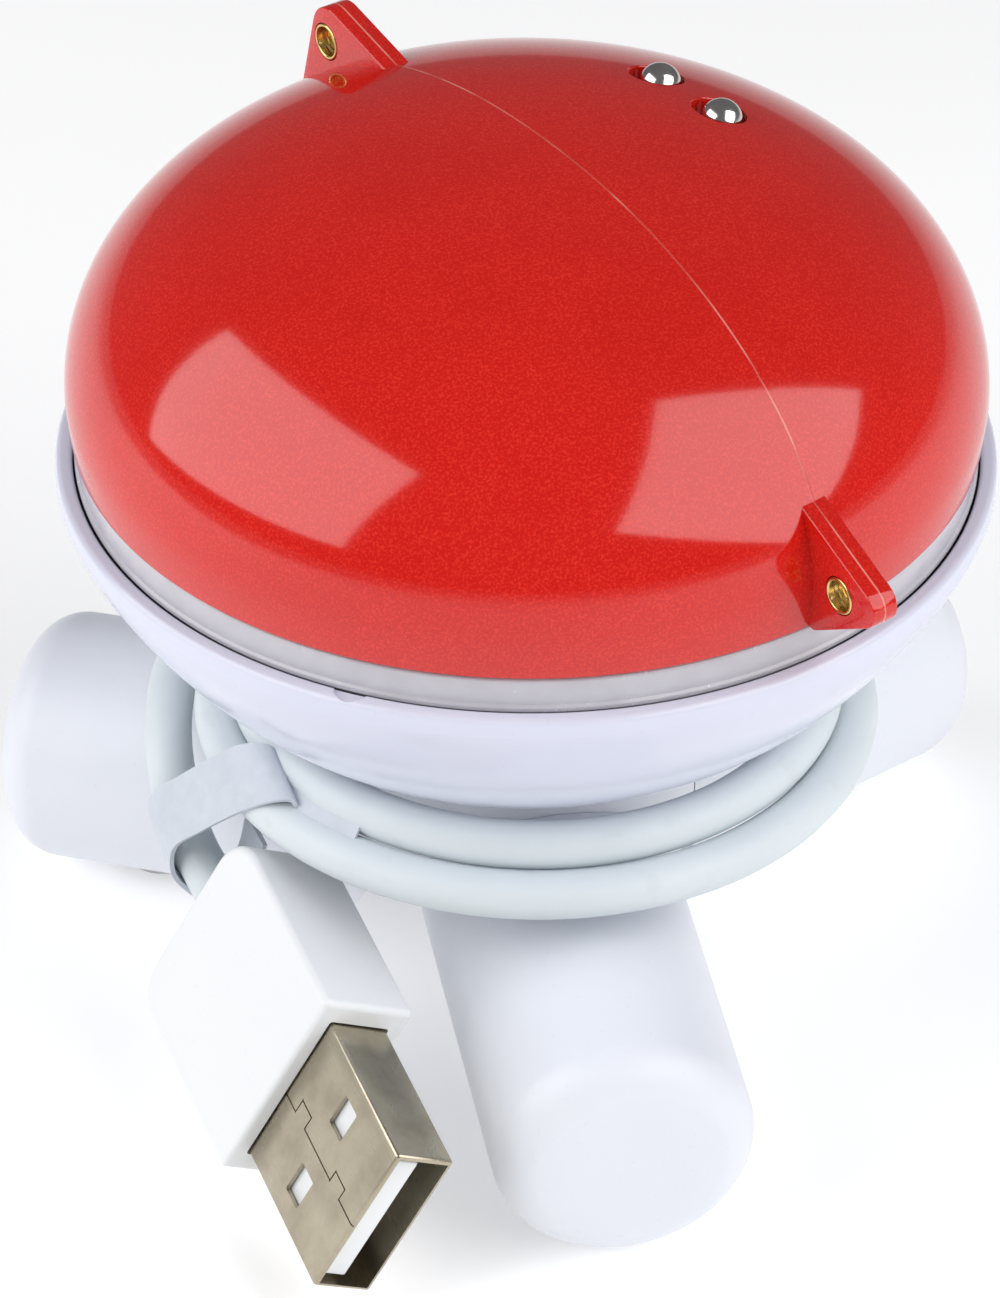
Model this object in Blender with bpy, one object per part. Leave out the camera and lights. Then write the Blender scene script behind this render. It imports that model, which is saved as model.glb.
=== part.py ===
"""Push-top quiz buzzer on a three-legged stand, with its USB lead wound round the neck.

Every length below is in millimetres and is turned into metres when a mesh is made.
Heights in SECTION numbers are measured from the dome's widest circle (its equator),
which stands EQUATOR_Z above the table. +Z is up and one leg points along -Y.
The dome's axis is a little behind the origin, which is the middle of the footprint.
"""
import math

import bmesh
import bpy
from mathutils import Matrix, Vector

MM = 0.001
GAP = 0.3                      # clearance kept between neighbouring pieces

# ---- driving dimensions -------------------------------------------------------------
EQUATOR_Z = 47.45              # height of the dome's widest circle above the table
AXIS_Y = 2.85                  # the dome's axis, behind the middle of the footprint

DOME_R = 30.9                  # widest radius of the red dome
DOME_RISE = 18.35              # crown above the equator
DOME_POWER = 2.08              # 2 would be a true ellipse
DOME_EDGE_R = 30.64            # lower edge of the dome
DOME_EDGE = -2.68
DOME_WALL = 1.8

SEAM_TURN = 24.8               # the parting plane, turned from the front leg, degrees
SEAM_SHIFT = 1.0               # and moved off the dome's axis
EAR_THICK = 2.0
EAR_HOLE_R = 1.36
# the ears' outlines and eyes on the parting plane: (distance from the axis, height)
FRONT_EAR = [(29.0, -2.60), (31.1, -2.68), (36.2, 0.45), (36.75, 1.1), (36.95, 1.9), (36.75, 2.5),
             (36.2, 2.95), (29.5, 5.95), (28.6, 5.4), (29.4, 2.8), (29.6, 0.0)]
REAR_EAR = [(15.9, 14.7), (16.3, 15.75), (22.6, 17.2), (23.6, 17.05), (24.45, 16.4), (24.95, 15.6),
            (25.4, 14.1), (26.5, 9.75), (25.4, 9.3), (23.2, 11.6), (20.0, 13.3)]
FRONT_EYE = (33.5, 1.45)
REAR_EYE = (23.4, 14.6)

STUD_ORBIT = 14.6              # two steel studs on the crown
STUD_TURNS = (83.0, 107.0)
STUD_R = 1.45
STUD_SINK = 0.6                # middle of its round head, below the dome's face
WELL_R = 1.85                  # the recess each stud stands in
WELL_TURN = 1.1                # and how far it is turned past the stud
WELL_DEEP = 1.2

SKIRT_R = 30.27                # clear ring under the dome
SKIRT_FOOT = -5.45
RIM_R = 31.72                  # bowl
RIM_TOP = -5.2
BOWL_WALL_TOP = -6.5
BOWL_FOOT_R = 21.1
BOWL_FOOT = -20.05
BOWL_POWER = 1.24
BOWL_WALL = 1.3
FLOOR_TOP = -18.4
NOTCH_TURN = -32.6             # small half-round step in the rim's inner edge
NOTCH_R = 1.15
NOTCH_ORBIT = 30.45
NOTCH_DEEP = 0.4

# turns below are in degrees from -Y towards +X
GUIDE_ORBIT = 20.0             # posts that the carrier slides on
GUIDE_TURNS = (60.0, 180.0, 300.0)
SPRING_ORBIT = 17.2
SPRING_TURNS = (0.0, 120.0, 240.0)
SPRING_SEAT = -16.6
PIN_ORBIT = 10.5               # pegs under the circuit board
BOWL_SCREW_ORBIT = 5.5
COVER_SCREW_ORBIT = 6.4
LAMP_ORBIT = 11.0
LEG_SCREW_ORBIT = 18.0

CARRIER_R = 28.6               # plate that joins the dome's halves
CARRIER_TOP = -3.4
CARRIER_FOOT = -5.0
CARRIER_POST = (21.0, 12.0)    # its four screws, across and along the parting plane

BOARD_R = 13.4
BOARD_FOOT = -14.9
BOARD_TOP = -13.3

HUB_R = 12.0                   # neck and middle of the stand
HUB_FOOT = 8.0                 # above the table
HUB_FOOT_R = 9.0               # it narrows below this height
HUB_TAPER_Z = 11.0
HUB_BORE_R = 5.0
COVER_R = 7.6
COVER_TOP = 9.6
LEG_R = 8.87
LEG_AXIS_Z = 11.48             # above the table, on the dome's axis
LEG_SLOPE = 4.03               # downwards, degrees
LEG_REACH = 37.09
LEG_ROUND = 3.12
LEG_TURNS = {"front": 0.0, "right": 120.0, "left": 240.0}
SPIGOT_R = 4.8
SPIGOT_END = 24.0
PAD_R = 3.0
PAD_REACH = 27.5

CABLE_R = 1.65
COIL_X = 0.3                   # the winding sits a little off the neck's axis
COIL_Y = -2.7
GLAND_TURN = 60.0              # where the lead leaves the neck
GLAND_SKEW = 55.0              # and how far it is swung towards the winding
GLAND_Z = 21.8
GLAND_TIP = 15.4               # along the lead, where the neck's wall is at 12
# middle of the lead from where it leaves the winding to the plug, (X, Y, Z) from the neck's axis
TAIL_ROUTE = [
    (0.8, 22.64, 22.85), (-5.77, 21.91, 22.85), (-11.94, 19.51, 22.65), (-17.27, 15.59, 22.3),
    (-21.1, 11.2, 21.75), (-23.6, 6.3, 21.0), (-24.75, 1.6, 19.5), (-24.8, -1.8, 17.2), (-24.2, -4.6, 14.9),
]

SHELL_WIDE = 12.0              # USB-A plug
SHELL_THICK = 4.5
SHELL_LONG = 12.4
SHELL_WALL = 0.32
MOULD_WIDE = 15.4
MOULD_THICK = 7.2
MOULD_LONG = 17.2
PLUG_AT = (-19.32, -27.33, 10.65)      # middle of the moulding's front face
PLUG_TURN = 10.8               # heading from -Y towards +X, degrees
PLUG_DROOP = 7.4               # below the level
PLUG_ROLL = 27.4               # turned about its own length, from standing on its edge
TONGUE_THICK = 1.85

# the strap's two edges, (X, Y, Z) from the neck's axis: over the winding, round the tail and back under
STRAP_FAR = [
    (-19.3, -10.3, 27.0), (-21.2, -8.6, 26.0), (-23.2, -6.9, 24.0), (-25.3, -5.2, 21.4),
    (-26.7, -3.2, 18.6), (-26.9, -3.0, 16.2), (-25.8, -3.9, 13.4), (-23.3, -4.2, 11.8),
    (-20.8, -5.0, 14.0), (-20.2, -6.2, 18.2),
]
STRAP_NEAR = [
    (-18.6, -14.4, 25.9), (-20.6, -13.4, 24.9), (-22.2, -11.6, 22.8), (-24.4, -8.8, 19.2),
    (-25.9, -7.6, 16.8), (-26.2, -7.3, 14.2), (-25.2, -7.6, 12.1), (-22.9, -7.8, 10.6),
    (-20.0, -8.4, 13.0), (-19.4, -9.2, 17.6),
]
STRAP_THICK = 0.5
STRAP_END_TURNS = (-66.0, -56.0, -45.0)        # its loose end lies along the winding
STRAP_END = ((21.35, 26.8), (22.75, 25.0))     # (distance from the winding's middle, height) of its edges


# ---- helpers ------------------------------------------------------------------------
def clear_scene():
    for old in list(bpy.data.objects):
        bpy.data.objects.remove(old, do_unlink=True)


def plain_material(name, colour, roughness, metallic=0.0, alpha=1.0):
    made = bpy.data.materials.new(name)
    made.use_nodes = True
    shader = made.node_tree.nodes["Principled BSDF"]
    shader.inputs["Base Color"].default_value = (*colour, 1.0)
    shader.inputs["Roughness"].default_value = roughness
    shader.inputs["Metallic"].default_value = metallic
    shader.inputs["Alpha"].default_value = alpha
    return made


def add_empty(name, place=(0.0, 0.0, 0.0), turn=0.0, parent=None):
    guide = bpy.data.objects.new(name, None)
    guide.location = Vector(place) * MM
    guide.rotation_euler = (0.0, 0.0, math.radians(turn))
    guide.parent = parent
    bpy.context.collection.objects.link(guide)
    return guide


def add_mesh(name, shape, finish, parent=None, smooth=35.0):
    """Scales a millimetre bmesh to metres and links it as an object."""
    bmesh.ops.scale(shape, vec=(MM, MM, MM), verts=shape.verts)
    bmesh.ops.recalc_face_normals(shape, faces=shape.faces)
    mesh = bpy.data.meshes.new(name)
    shape.to_mesh(mesh)
    shape.free()
    mesh.shade_smooth()
    mesh.set_sharp_from_angle(angle=math.radians(smooth))
    made = bpy.data.objects.new(name, mesh)
    if finish:
        mesh.materials.append(finish)
    made.parent = parent
    bpy.context.collection.objects.link(made)
    return made


def turned(profile, steps):
    """Turns a closed outline of (radius, height) points about Z."""
    shape = bmesh.new()
    corners = [shape.verts.new((r, 0.0, z)) for r, z in profile]
    edges = [shape.edges.new((corners[i - 1], corners[i])) for i in range(len(corners))
             if not (profile[i - 1][0] < 1e-6 and profile[i][0] < 1e-6)]
    bmesh.ops.spin(shape, geom=corners + edges, cent=(0, 0, 0), axis=(0, 0, 1),
                   angle=2 * math.pi, steps=steps, use_merge=True)
    bmesh.ops.remove_doubles(shape, verts=shape.verts, dist=1e-4)
    return shape


def rod(radius, foot, top, steps=16, centre=(0.0, 0.0)):
    """A round bar; the small turn keeps its corners off those of the piece it meets."""
    shape = turned([(0, foot), (radius, foot), (radius, top), (0, top)], steps)
    bmesh.ops.rotate(shape, verts=shape.verts, matrix=Matrix.Rotation(math.radians(4.7), 3, "Z"))
    bmesh.ops.translate(shape, verts=shape.verts, vec=(*centre, 0.0))
    return shape


def block(low, high, bevel=0.0, segments=2):
    shape = bmesh.new()
    bmesh.ops.create_cube(shape, size=1.0)
    size = Vector(high) - Vector(low)
    middle = (Vector(high) + Vector(low)) / 2
    bmesh.ops.scale(shape, vec=size, verts=shape.verts)
    bmesh.ops.translate(shape, vec=middle, verts=shape.verts)
    if bevel:
        bmesh.ops.bevel(shape, geom=shape.edges[:], offset=bevel, affect="EDGES",
                        segments=segments, profile=0.5, material=-1)
    return shape


def plate(outline, low, high):
    """An outline in (Y, Z), given thickness along X."""
    shape = bmesh.new()
    face = shape.faces.new([shape.verts.new((low, y, z)) for y, z in outline])
    grown = bmesh.ops.extrude_face_region(shape, geom=[face])
    moved = [v for v in grown["geom"] if isinstance(v, bmesh.types.BMVert)]
    bmesh.ops.translate(shape, verts=moved, vec=(high - low, 0, 0))
    return shape


def on_circle(radius, turn):
    """A point at this turn from -Y towards +X."""
    return radius * math.sin(math.radians(turn)), -radius * math.cos(math.radians(turn))


def arc(middle, radius, start, end, count):
    """Points on a circle arc; angles in degrees, 0 outwards and 90 up."""
    angles = [math.radians(start + (end - start) * i / count) for i in range(count + 1)]
    return [(middle[0] + radius * math.cos(a), middle[1] + radius * math.sin(a)) for a in angles]


def cut(target, tool, operation="DIFFERENCE"):
    """Takes the tool's shape away from the target, or with UNION adds it."""
    change = target.modifiers.new(tool.name, "BOOLEAN")
    change.operation = operation
    change.solver = "EXACT"
    change.object = tool


def guide_shape(name, shape, parent):
    tool = add_mesh(name, shape, None, parent)
    tool.hide_render = True
    tool.display_type = "WIRE"
    return tool


# ---- finishes -----------------------------------------------------------------------
def finishes():
    return {
        "red": plain_material("red_gloss", (0.62, 0.02, 0.012), 0.18),
        "clear": plain_material("clear_frost", (0.82, 0.82, 0.85), 0.3, alpha=0.6),
        "white": plain_material("white_gloss", (0.80, 0.80, 0.86), 0.25),
        "satin": plain_material("white_satin", (0.84, 0.84, 0.87), 0.45),
        "cable": plain_material("cable_grey", (0.74, 0.77, 0.79), 0.45),
        "strap": plain_material("strap_film", (0.76, 0.78, 0.84), 0.35, alpha=0.85),
        "plug": plain_material("plug_white", (0.88, 0.88, 0.88), 0.4),
        "nickel": plain_material("nickel", (0.52, 0.47, 0.38), 0.3, 1.0),
        "brass": plain_material("brass", (0.78, 0.60, 0.24), 0.25, 1.0),
        "steel": plain_material("polished_steel", (0.75, 0.74, 0.72), 0.12, 1.0),
        "board": plain_material("board_green", (0.03, 0.20, 0.09), 0.4),
        "black": plain_material("black_plastic", (0.03, 0.03, 0.03), 0.4),
        "lamp": plain_material("lamp_red", (0.75, 0.12, 0.10), 0.15, alpha=0.8),
        "rubber": plain_material("foot_rubber", (0.62, 0.62, 0.64), 0.8),
        "zinc": plain_material("zinc_screw", (0.60, 0.61, 0.62), 0.35, 1.0),
    }


# ---- dome: two half shells with ears ------------------------------------------------
def dome_curve(radius, rise, count):
    points = []
    for i in range(count + 1):
        a = math.pi / 2 * i / count
        points.append((radius * math.cos(a) ** (2 / DOME_POWER), rise * math.sin(a) ** (2 / DOME_POWER)))
    points[-1] = (0.0, rise)
    return points


def dome_height(radius):
    """Height of the dome's outer face above its equator."""
    return DOME_RISE * (1 - (radius / DOME_R) ** DOME_POWER) ** (1 / DOME_POWER)


def dome_shell():
    outer = [(DOME_EDGE_R, DOME_EDGE)] + dome_curve(DOME_R, DOME_RISE, 9)
    inner = dome_curve(DOME_R - DOME_WALL, DOME_RISE - DOME_WALL, 6)
    inner = inner[::-1] + [(DOME_EDGE_R - DOME_WALL, DOME_EDGE)]
    return turned(outer + inner, 48)


def dome_halves(frame, paint):
    ears = [
        guide_shape("guide_ear_front", plate([(-r, z) for r, z in FRONT_EAR],
                    SEAM_SHIFT - EAR_THICK / 2, SEAM_SHIFT + EAR_THICK / 2), frame),
        guide_shape("guide_ear_rear", plate(REAR_EAR, SEAM_SHIFT - EAR_THICK / 2,
                    SEAM_SHIFT + EAR_THICK / 2), frame),
    ]
    eyes = []
    for name, (y, z) in (("front", (-FRONT_EYE[0], FRONT_EYE[1])), ("rear", REAR_EYE)):
        hole = rod(EAR_HOLE_R, -3.0, 3.0, 16)
        bmesh.ops.rotate(hole, verts=hole.verts, matrix=Matrix.Rotation(math.pi / 2, 3, "Y"))
        bmesh.ops.translate(hole, verts=hole.verts, vec=(SEAM_SHIFT, y, z))
        eyes.append(guide_shape("cut_eye_" + name, hole, frame))
    recesses = []
    top = dome_height(STUD_ORBIT)
    for number, turn in enumerate(STUD_TURNS, 1):
        well = rod(WELL_R, top - WELL_DEEP, top + 4, 16, on_circle(STUD_ORBIT, turn + WELL_TURN))
        recesses.append(guide_shape(f"cut_stud_{number}", well, frame))
    for side, sign in (("left", -1), ("right", 1)):
        half = add_mesh("dome_half_" + side, dome_shell(), paint["red"], frame)
        for ear in ears:
            cut(half, ear, "UNION")
        for number, row in enumerate((-1, 1), 1):
            place = (sign * CARRIER_POST[0], row * CARRIER_POST[1])
            post = rod(2.6, CARRIER_TOP + GAP, 9.4, 16, place)
            cut(half, guide_shape(f"guide_post_{side}_{number}", post, frame), "UNION")
            pilot = rod(1.2, CARRIER_TOP - 1, 3.0, 12, place)
            cut(half, guide_shape(f"cut_pilot_{side}_{number}", pilot, frame))
        face = SEAM_SHIFT + sign * GAP / 2
        low, high = sorted((face, -sign * 60.0))
        away = block((low, -60, -20), (high, 60, 40))
        cut(half, guide_shape("cut_seam_" + side, away, frame))
        for eye in eyes:
            cut(half, eye)
        if side == "right":
            for recess in recesses:
                cut(half, recess)


def dome_fittings(frame, paint):
    for name, (y, z) in (("front", (-FRONT_EYE[0], FRONT_EYE[1])), ("rear", REAR_EYE)):
        outer = EAR_HOLE_R - 0.06
        half = EAR_THICK / 2 - 0.05
        tube = turned([(outer - 0.35, -half), (outer, -half), (outer, half), (outer - 0.35, half)], 16)
        bmesh.ops.rotate(tube, verts=tube.verts, matrix=Matrix.Rotation(math.pi / 2, 3, "Y"))
        bmesh.ops.translate(tube, verts=tube.verts, vec=(SEAM_SHIFT, y, z))
        add_mesh("ear_insert_" + name, tube, paint["brass"], frame)
    top = dome_height(STUD_ORBIT)
    head = arc((0, top - STUD_SINK), STUD_R, 0, 90, 4)[:-1] + [(0, top - STUD_SINK + STUD_R)]
    foot = top - WELL_DEEP + 0.1
    for number, turn in enumerate(STUD_TURNS, 1):
        stud = turned([(0, foot), (STUD_R, foot)] + head, 14)
        bmesh.ops.translate(stud, verts=stud.verts, vec=(*on_circle(STUD_ORBIT, turn), 0))
        add_mesh(f"stud_{number}", stud, paint["steel"], frame)
    skirt = [(29.1, DOME_EDGE - GAP), (SKIRT_R, DOME_EDGE - GAP), (SKIRT_R, -4.95), (SKIRT_R + 0.15, -5.1),
             (SKIRT_R + 0.15, SKIRT_FOOT), (29.7, SKIRT_FOOT), (29.7, -6.2), (27.8, -6.2), (27.8, -5.3),
             (29.1, -5.3)]
    add_mesh("skirt_ring", turned(skirt, 48), paint["clear"], frame)


def carrier(dome, base, paint):
    body = [(0, CARRIER_FOOT - GAP), (2.2, CARRIER_FOOT - GAP), (2.2, CARRIER_FOOT),
            (CARRIER_R, CARRIER_FOOT), (CARRIER_R, CARRIER_TOP), (0, CARRIER_TOP)]
    disc = add_mesh("carrier_plate", turned(body, 40), paint["white"], dome)
    for number, (sx, sy) in enumerate(((1, -1), (1, 1), (-1, 1), (-1, -1)), 1):
        place = (sx * CARRIER_POST[0], sy * CARRIER_POST[1])
        cut(disc, guide_shape(f"cut_carrier_{number}", rod(1.3, -8, 0, 12, place), dome))
        screw = turned([(0, -6.5), (1.9, -6.5), (1.9, -5.3), (0.9, -5.3), (0.9, 2.0), (0, 2.0)], 10)
        bmesh.ops.translate(screw, verts=screw.verts, vec=(*place, 0))
        add_mesh(f"carrier_screw_{number}", screw, paint["zinc"], dome)
    for number, turn in enumerate(GUIDE_TURNS, 1):
        place = on_circle(GUIDE_ORBIT, turn)
        cut(disc, guide_shape(f"cut_guide_{number}", rod(2.65, -8, 0, 16, place), base))


# ---- bowl ---------------------------------------------------------------------------
def bowl_wall(radius, foot_radius, top, foot, count):
    points = []
    for i in range(count + 1):
        a = math.pi / 2 * i / count
        r = foot_radius + (radius - foot_radius) * max(math.cos(a), 0.0) ** (2 / BOWL_POWER)
        points.append((r, top - (top - foot) * math.sin(a) ** (2 / BOWL_POWER)))
    return points


def bowl(base, paint):
    rim = [(30.72, RIM_TOP - 0.3), (30.9, RIM_TOP - 0.08), (31.15, RIM_TOP), (31.45, RIM_TOP - 0.12),
           (31.66, RIM_TOP - 0.42)]
    outside = bowl_wall(RIM_R, BOWL_FOOT_R, BOWL_WALL_TOP, BOWL_FOOT, 6)
    inside = bowl_wall(30.72, BOWL_FOOT_R - BOWL_WALL, -7.4, FLOOR_TOP, 4)
    profile = rim + outside + [(0, BOWL_FOOT), (0, FLOOR_TOP)] + inside[::-1]
    shell = add_mesh("bowl", turned(profile, 48), paint["white"], base)
    for number, turn in enumerate(GUIDE_TURNS, 1):
        x, y = on_circle(GUIDE_ORBIT, turn)
        cut(shell, guide_shape(f"guide_slide_{number}", rod(2.2, FLOOR_TOP - 0.6, -3.3, 12, (x, y)), base),
            "UNION")
        cut(shell, guide_shape(f"cut_slide_{number}", rod(1.2, -9.0, 0, 10, (x, y)), base))
        x, y = on_circle(PIN_ORBIT, turn)
        pin = turned([(0, FLOOR_TOP - 0.6), (1.6, FLOOR_TOP - 0.6), (1.6, BOARD_FOOT - GAP),
                      (0.7, BOARD_FOOT - GAP), (0.7, BOARD_TOP + 0.5), (0, BOARD_TOP + 0.5)], 8)
        bmesh.ops.translate(pin, verts=pin.verts, vec=(x, y, 0))
        cut(shell, guide_shape(f"guide_pin_{number}", pin, base), "UNION")
        x, y = on_circle(BOWL_SCREW_ORBIT, turn)
        cut(shell, guide_shape(f"cut_bowl_screw_{number}", rod(1.2, BOWL_FOOT - 1, FLOOR_TOP + 1, 10, (x, y)),
                               base))
        screw = turned([(0, FLOOR_TOP + 1.5), (1.9, FLOOR_TOP + 1.5), (1.9, FLOOR_TOP + GAP),
                        (0.85, FLOOR_TOP + GAP), (0.85, -24.4), (0, -24.4)], 10)
        bmesh.ops.translate(screw, verts=screw.verts, vec=(x, y, 0))
        add_mesh(f"bowl_screw_{number}", screw, paint["zinc"], base)
    for number, turn in enumerate(SPRING_TURNS, 1):
        x, y = on_circle(SPRING_ORBIT, turn)
        seat = turned([(0, FLOOR_TOP - 0.6), (3.2, FLOOR_TOP - 0.6), (3.2, SPRING_SEAT), (1.3, SPRING_SEAT),
                       (1.3, -13.0), (0, -13.0)], 10)
        bmesh.ops.translate(seat, verts=seat.verts, vec=(x, y, 0))
        cut(shell, guide_shape(f"guide_seat_{number}", seat, base), "UNION")
    notch = rod(NOTCH_R, RIM_TOP - NOTCH_DEEP, RIM_TOP + 1, 16, on_circle(NOTCH_ORBIT, NOTCH_TURN))
    cut(shell, guide_shape("cut_notch", notch, base))


def retaining_screws(base, paint):
    for number, turn in enumerate(GUIDE_TURNS, 1):
        x, y = on_circle(GUIDE_ORBIT, turn)
        screw = turned([(0, -8.2), (0.9, -8.2), (0.9, -3.0), (3.4, -3.0), (3.4, -2.2), (2.8, -1.8),
                        (0, -1.8)], 14)
        bmesh.ops.translate(screw, verts=screw.verts, vec=(x, y, 0))
        add_mesh(f"retaining_screw_{number}", screw, paint["zinc"], base)


def springs(base, paint):
    wire, mean, coils, side = 0.35, 2.2, 5, 4
    foot, top = SPRING_SEAT + GAP + wire, CARRIER_FOOT - GAP - wire
    for number, turn in enumerate(SPRING_TURNS, 1):
        x, y = on_circle(SPRING_ORBIT, turn)
        curve = bpy.data.curves.new(f"return_spring_{number}", "CURVE")
        curve.dimensions = "3D"
        curve.bevel_depth = wire * MM
        curve.bevel_resolution = 1
        curve.use_fill_caps = True
        strand = curve.splines.new("POLY")
        count = coils * 2 * side
        strand.points.add(count)
        for i in range(count + 1):
            a = 2 * math.pi * coils * i / count
            place = (x + mean * math.cos(a), y + mean * math.sin(a), foot + (top - foot) * i / count)
            strand.points[i].co = (*[MM * value for value in place], 1.0)
        curve.materials.append(paint["steel"])
        made = bpy.data.objects.new(f"return_spring_{number}", curve)
        made.parent = base
        bpy.context.collection.objects.link(made)


# ---- electronics --------------------------------------------------------------------
def electronics(base, paint):
    board = add_mesh("circuit_board", turned([(0, BOARD_FOOT), (BOARD_R, BOARD_FOOT), (BOARD_R, BOARD_TOP),
                                              (0, BOARD_TOP)], 32), paint["board"], base)
    for number, turn in enumerate(GUIDE_TURNS, 1):
        hole = rod(1.0, BOARD_FOOT - 1, BOARD_TOP + 1, 10, on_circle(PIN_ORBIT, turn))
        cut(board, guide_shape(f"cut_board_{number}", hole, base))
    foot = BOARD_TOP + GAP
    body = add_mesh("switch_body", block((-3, -3, foot), (3, 3, -8.0), 0.2, 1), paint["black"], base)
    cut(body, guide_shape("cut_switch_bore", rod(2.1, -12.6, -7.0, 14), base))
    add_mesh("controller_chip", block((-8.9, -2.5, foot), (-4.7, 2.5, foot + 1.5), 0.15, 1), paint["black"],
             base)
    can = turned([(0, foot), (3.3, foot), (3.3, -9.7), (3.0, -9.4), (0.8, -9.4), (0.8, -9.9), (0, -9.9)], 16)
    bmesh.ops.translate(can, verts=can.verts, vec=(7.0, 0, 0))
    add_mesh("sounder", can, paint["black"], base)
    for number, turn in enumerate(SPRING_TURNS, 1):
        x, y = on_circle(LAMP_ORBIT, turn)
        lens = turned([(0, foot), (1.6, foot), (1.6, foot + 0.7), (1.3, foot + 0.7)]
                      + arc((0, foot + 2.6), 1.3, 0, 90, 3)[:-1] + [(0, foot + 3.9)], 12)
        bmesh.ops.translate(lens, verts=lens.verts, vec=(x, y, 0))
        add_mesh(f"lamp_{number}", lens, paint["lamp"], base)


def switch_stem(mover, paint):
    stem = turned([(0, -10.4), (1.8, -10.4), (1.8, -6.2), (1.5, CARRIER_FOOT - 2 * GAP),
                   (0, CARRIER_FOOT - 2 * GAP)], 14)
    add_mesh("switch_stem", stem, paint["lamp"], mover)


# ---- stand --------------------------------------------------------------------------
def leg_matrix(turn):
    tilt = Matrix.Rotation(math.radians(90 + LEG_SLOPE), 4, "X")
    return Matrix.Translation((0, 0, LEG_AXIS_Z)) @ Matrix.Rotation(math.radians(turn), 4, "Z") @ tilt


def stand(ground, paint):
    neck_top = EQUATOR_Z + BOWL_FOOT - GAP
    hub = add_mesh("hub", turned([(COVER_R + GAP, HUB_FOOT), (HUB_FOOT_R - 0.4, HUB_FOOT),
                                  (HUB_FOOT_R, HUB_FOOT + 0.4), (HUB_R, HUB_TAPER_Z), (HUB_R, neck_top),
                                  (0, neck_top), (0, 22.0), (HUB_BORE_R, 22.0),
                                  (HUB_BORE_R, COVER_TOP + GAP), (COVER_R + GAP, COVER_TOP + GAP)], 32),
                   paint["satin"], ground)
    cover = add_mesh("bottom_cover", turned([(0, HUB_FOOT), (COVER_R, HUB_FOOT), (COVER_R, COVER_TOP),
                                             (HUB_BORE_R - GAP, COVER_TOP), (HUB_BORE_R - GAP, 10.6),
                                             (3.6, 10.6), (3.6, COVER_TOP), (0, COVER_TOP)], 32),
                     paint["satin"], ground)
    for name, turn in LEG_TURNS.items():
        spigot = rod(SPIGOT_R, 9.0, SPIGOT_END, 16)
        bmesh.ops.transform(spigot, verts=spigot.verts, matrix=leg_matrix(turn))
        cut(hub, guide_shape("guide_spigot_" + name, spigot, ground), "UNION")
    for number, turn in enumerate(GUIDE_TURNS, 1):
        place = on_circle(BOWL_SCREW_ORBIT, turn)
        cut(hub, guide_shape(f"cut_hub_top_{number}", rod(1.2, 22.7, 30, 8, place), ground))
        place = on_circle(COVER_SCREW_ORBIT, turn)
        cut(hub, guide_shape(f"cut_hub_foot_{number}", rod(0.95, 9.0, 15.5, 8, place), ground))
        cut(cover, guide_shape(f"cut_cover_head_{number}", rod(1.1, 7.0, 9.2, 10, place), ground))
        cut(cover, guide_shape(f"cut_cover_{number}", rod(0.9, 7.0, 11.5, 10, place), ground))
        screw = turned([(0, 8.15), (0.95, 8.15), (0.95, 9.05), (0.65, 9.05), (0.65, 14.5), (0, 14.5)], 10)
        bmesh.ops.translate(screw, verts=screw.verts, vec=(*place, 0))
        add_mesh(f"cover_screw_{number}", screw, paint["zinc"], ground)
    port = rod(2.2, 6.0, 16.0, 12)
    bmesh.ops.transform(port, verts=port.verts, matrix=gland_matrix())
    cut(hub, guide_shape("cut_gland_port", port, ground))
    inlet = rod(1.5, 4.0, 10.0, 10)
    bmesh.ops.rotate(inlet, verts=inlet.verts, matrix=Matrix.Rotation(math.radians(90), 3, "X"))
    bmesh.ops.rotate(inlet, verts=inlet.verts, matrix=Matrix.Rotation(math.radians(GLAND_TURN - 22), 3, "Z"))
    bmesh.ops.translate(inlet, verts=inlet.verts, vec=(0, 0, GLAND_Z - 1.6))
    cut(hub, guide_shape("cut_gland_inlet", inlet, ground))
    for name, turn in LEG_TURNS.items():
        leg(name, turn, hub, ground, paint)


def leg(name, turn, hub, ground, paint):
    flat = LEG_R - LEG_ROUND
    inner = SPIGOT_R + GAP
    profile = [(inner, 7.5), (LEG_R, 7.5)]
    profile += arc((flat, LEG_REACH - LEG_ROUND), LEG_ROUND, 0, 90, 4)
    profile += [(0, LEG_REACH), (0, SPIGOT_END + GAP), (inner, SPIGOT_END + GAP)]
    shape = turned(profile, 28)
    bmesh.ops.transform(shape, verts=shape.verts, matrix=leg_matrix(turn))
    body = add_mesh("leg_" + name, shape, paint["satin"], ground)
    cut(body, guide_shape("cut_saddle_" + name, rod(HUB_R + GAP, -5, 30, 40), ground))
    pad_place = on_circle(PAD_REACH, turn)
    cut(body, guide_shape("cut_pad_" + name, rod(PAD_R + GAP, -2, 1.9, 16, pad_place), ground))
    screw_place = on_circle(LEG_SCREW_ORBIT, turn)
    cut(body, guide_shape("cut_leg_screw_" + name, rod(2.2, -2, 4.2, 12, screw_place), ground))
    shank = guide_shape("cut_leg_shank_" + name, rod(1.1, 0, 9.0, 8, screw_place), ground)
    cut(body, shank)
    cut(hub, shank)
    add_mesh("foot_pad_" + name, rod(PAD_R, 0.0, 1.6, 20, pad_place), paint["rubber"], ground)
    screw = turned([(0, 2.6), (1.8, 2.6), (1.8, 3.9), (0.8, 3.9), (0.8, 8.7), (0, 8.7)], 10)
    bmesh.ops.translate(screw, verts=screw.verts, vec=(*screw_place, 0))
    add_mesh("leg_screw_" + name, screw, paint["zinc"], ground)


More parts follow.
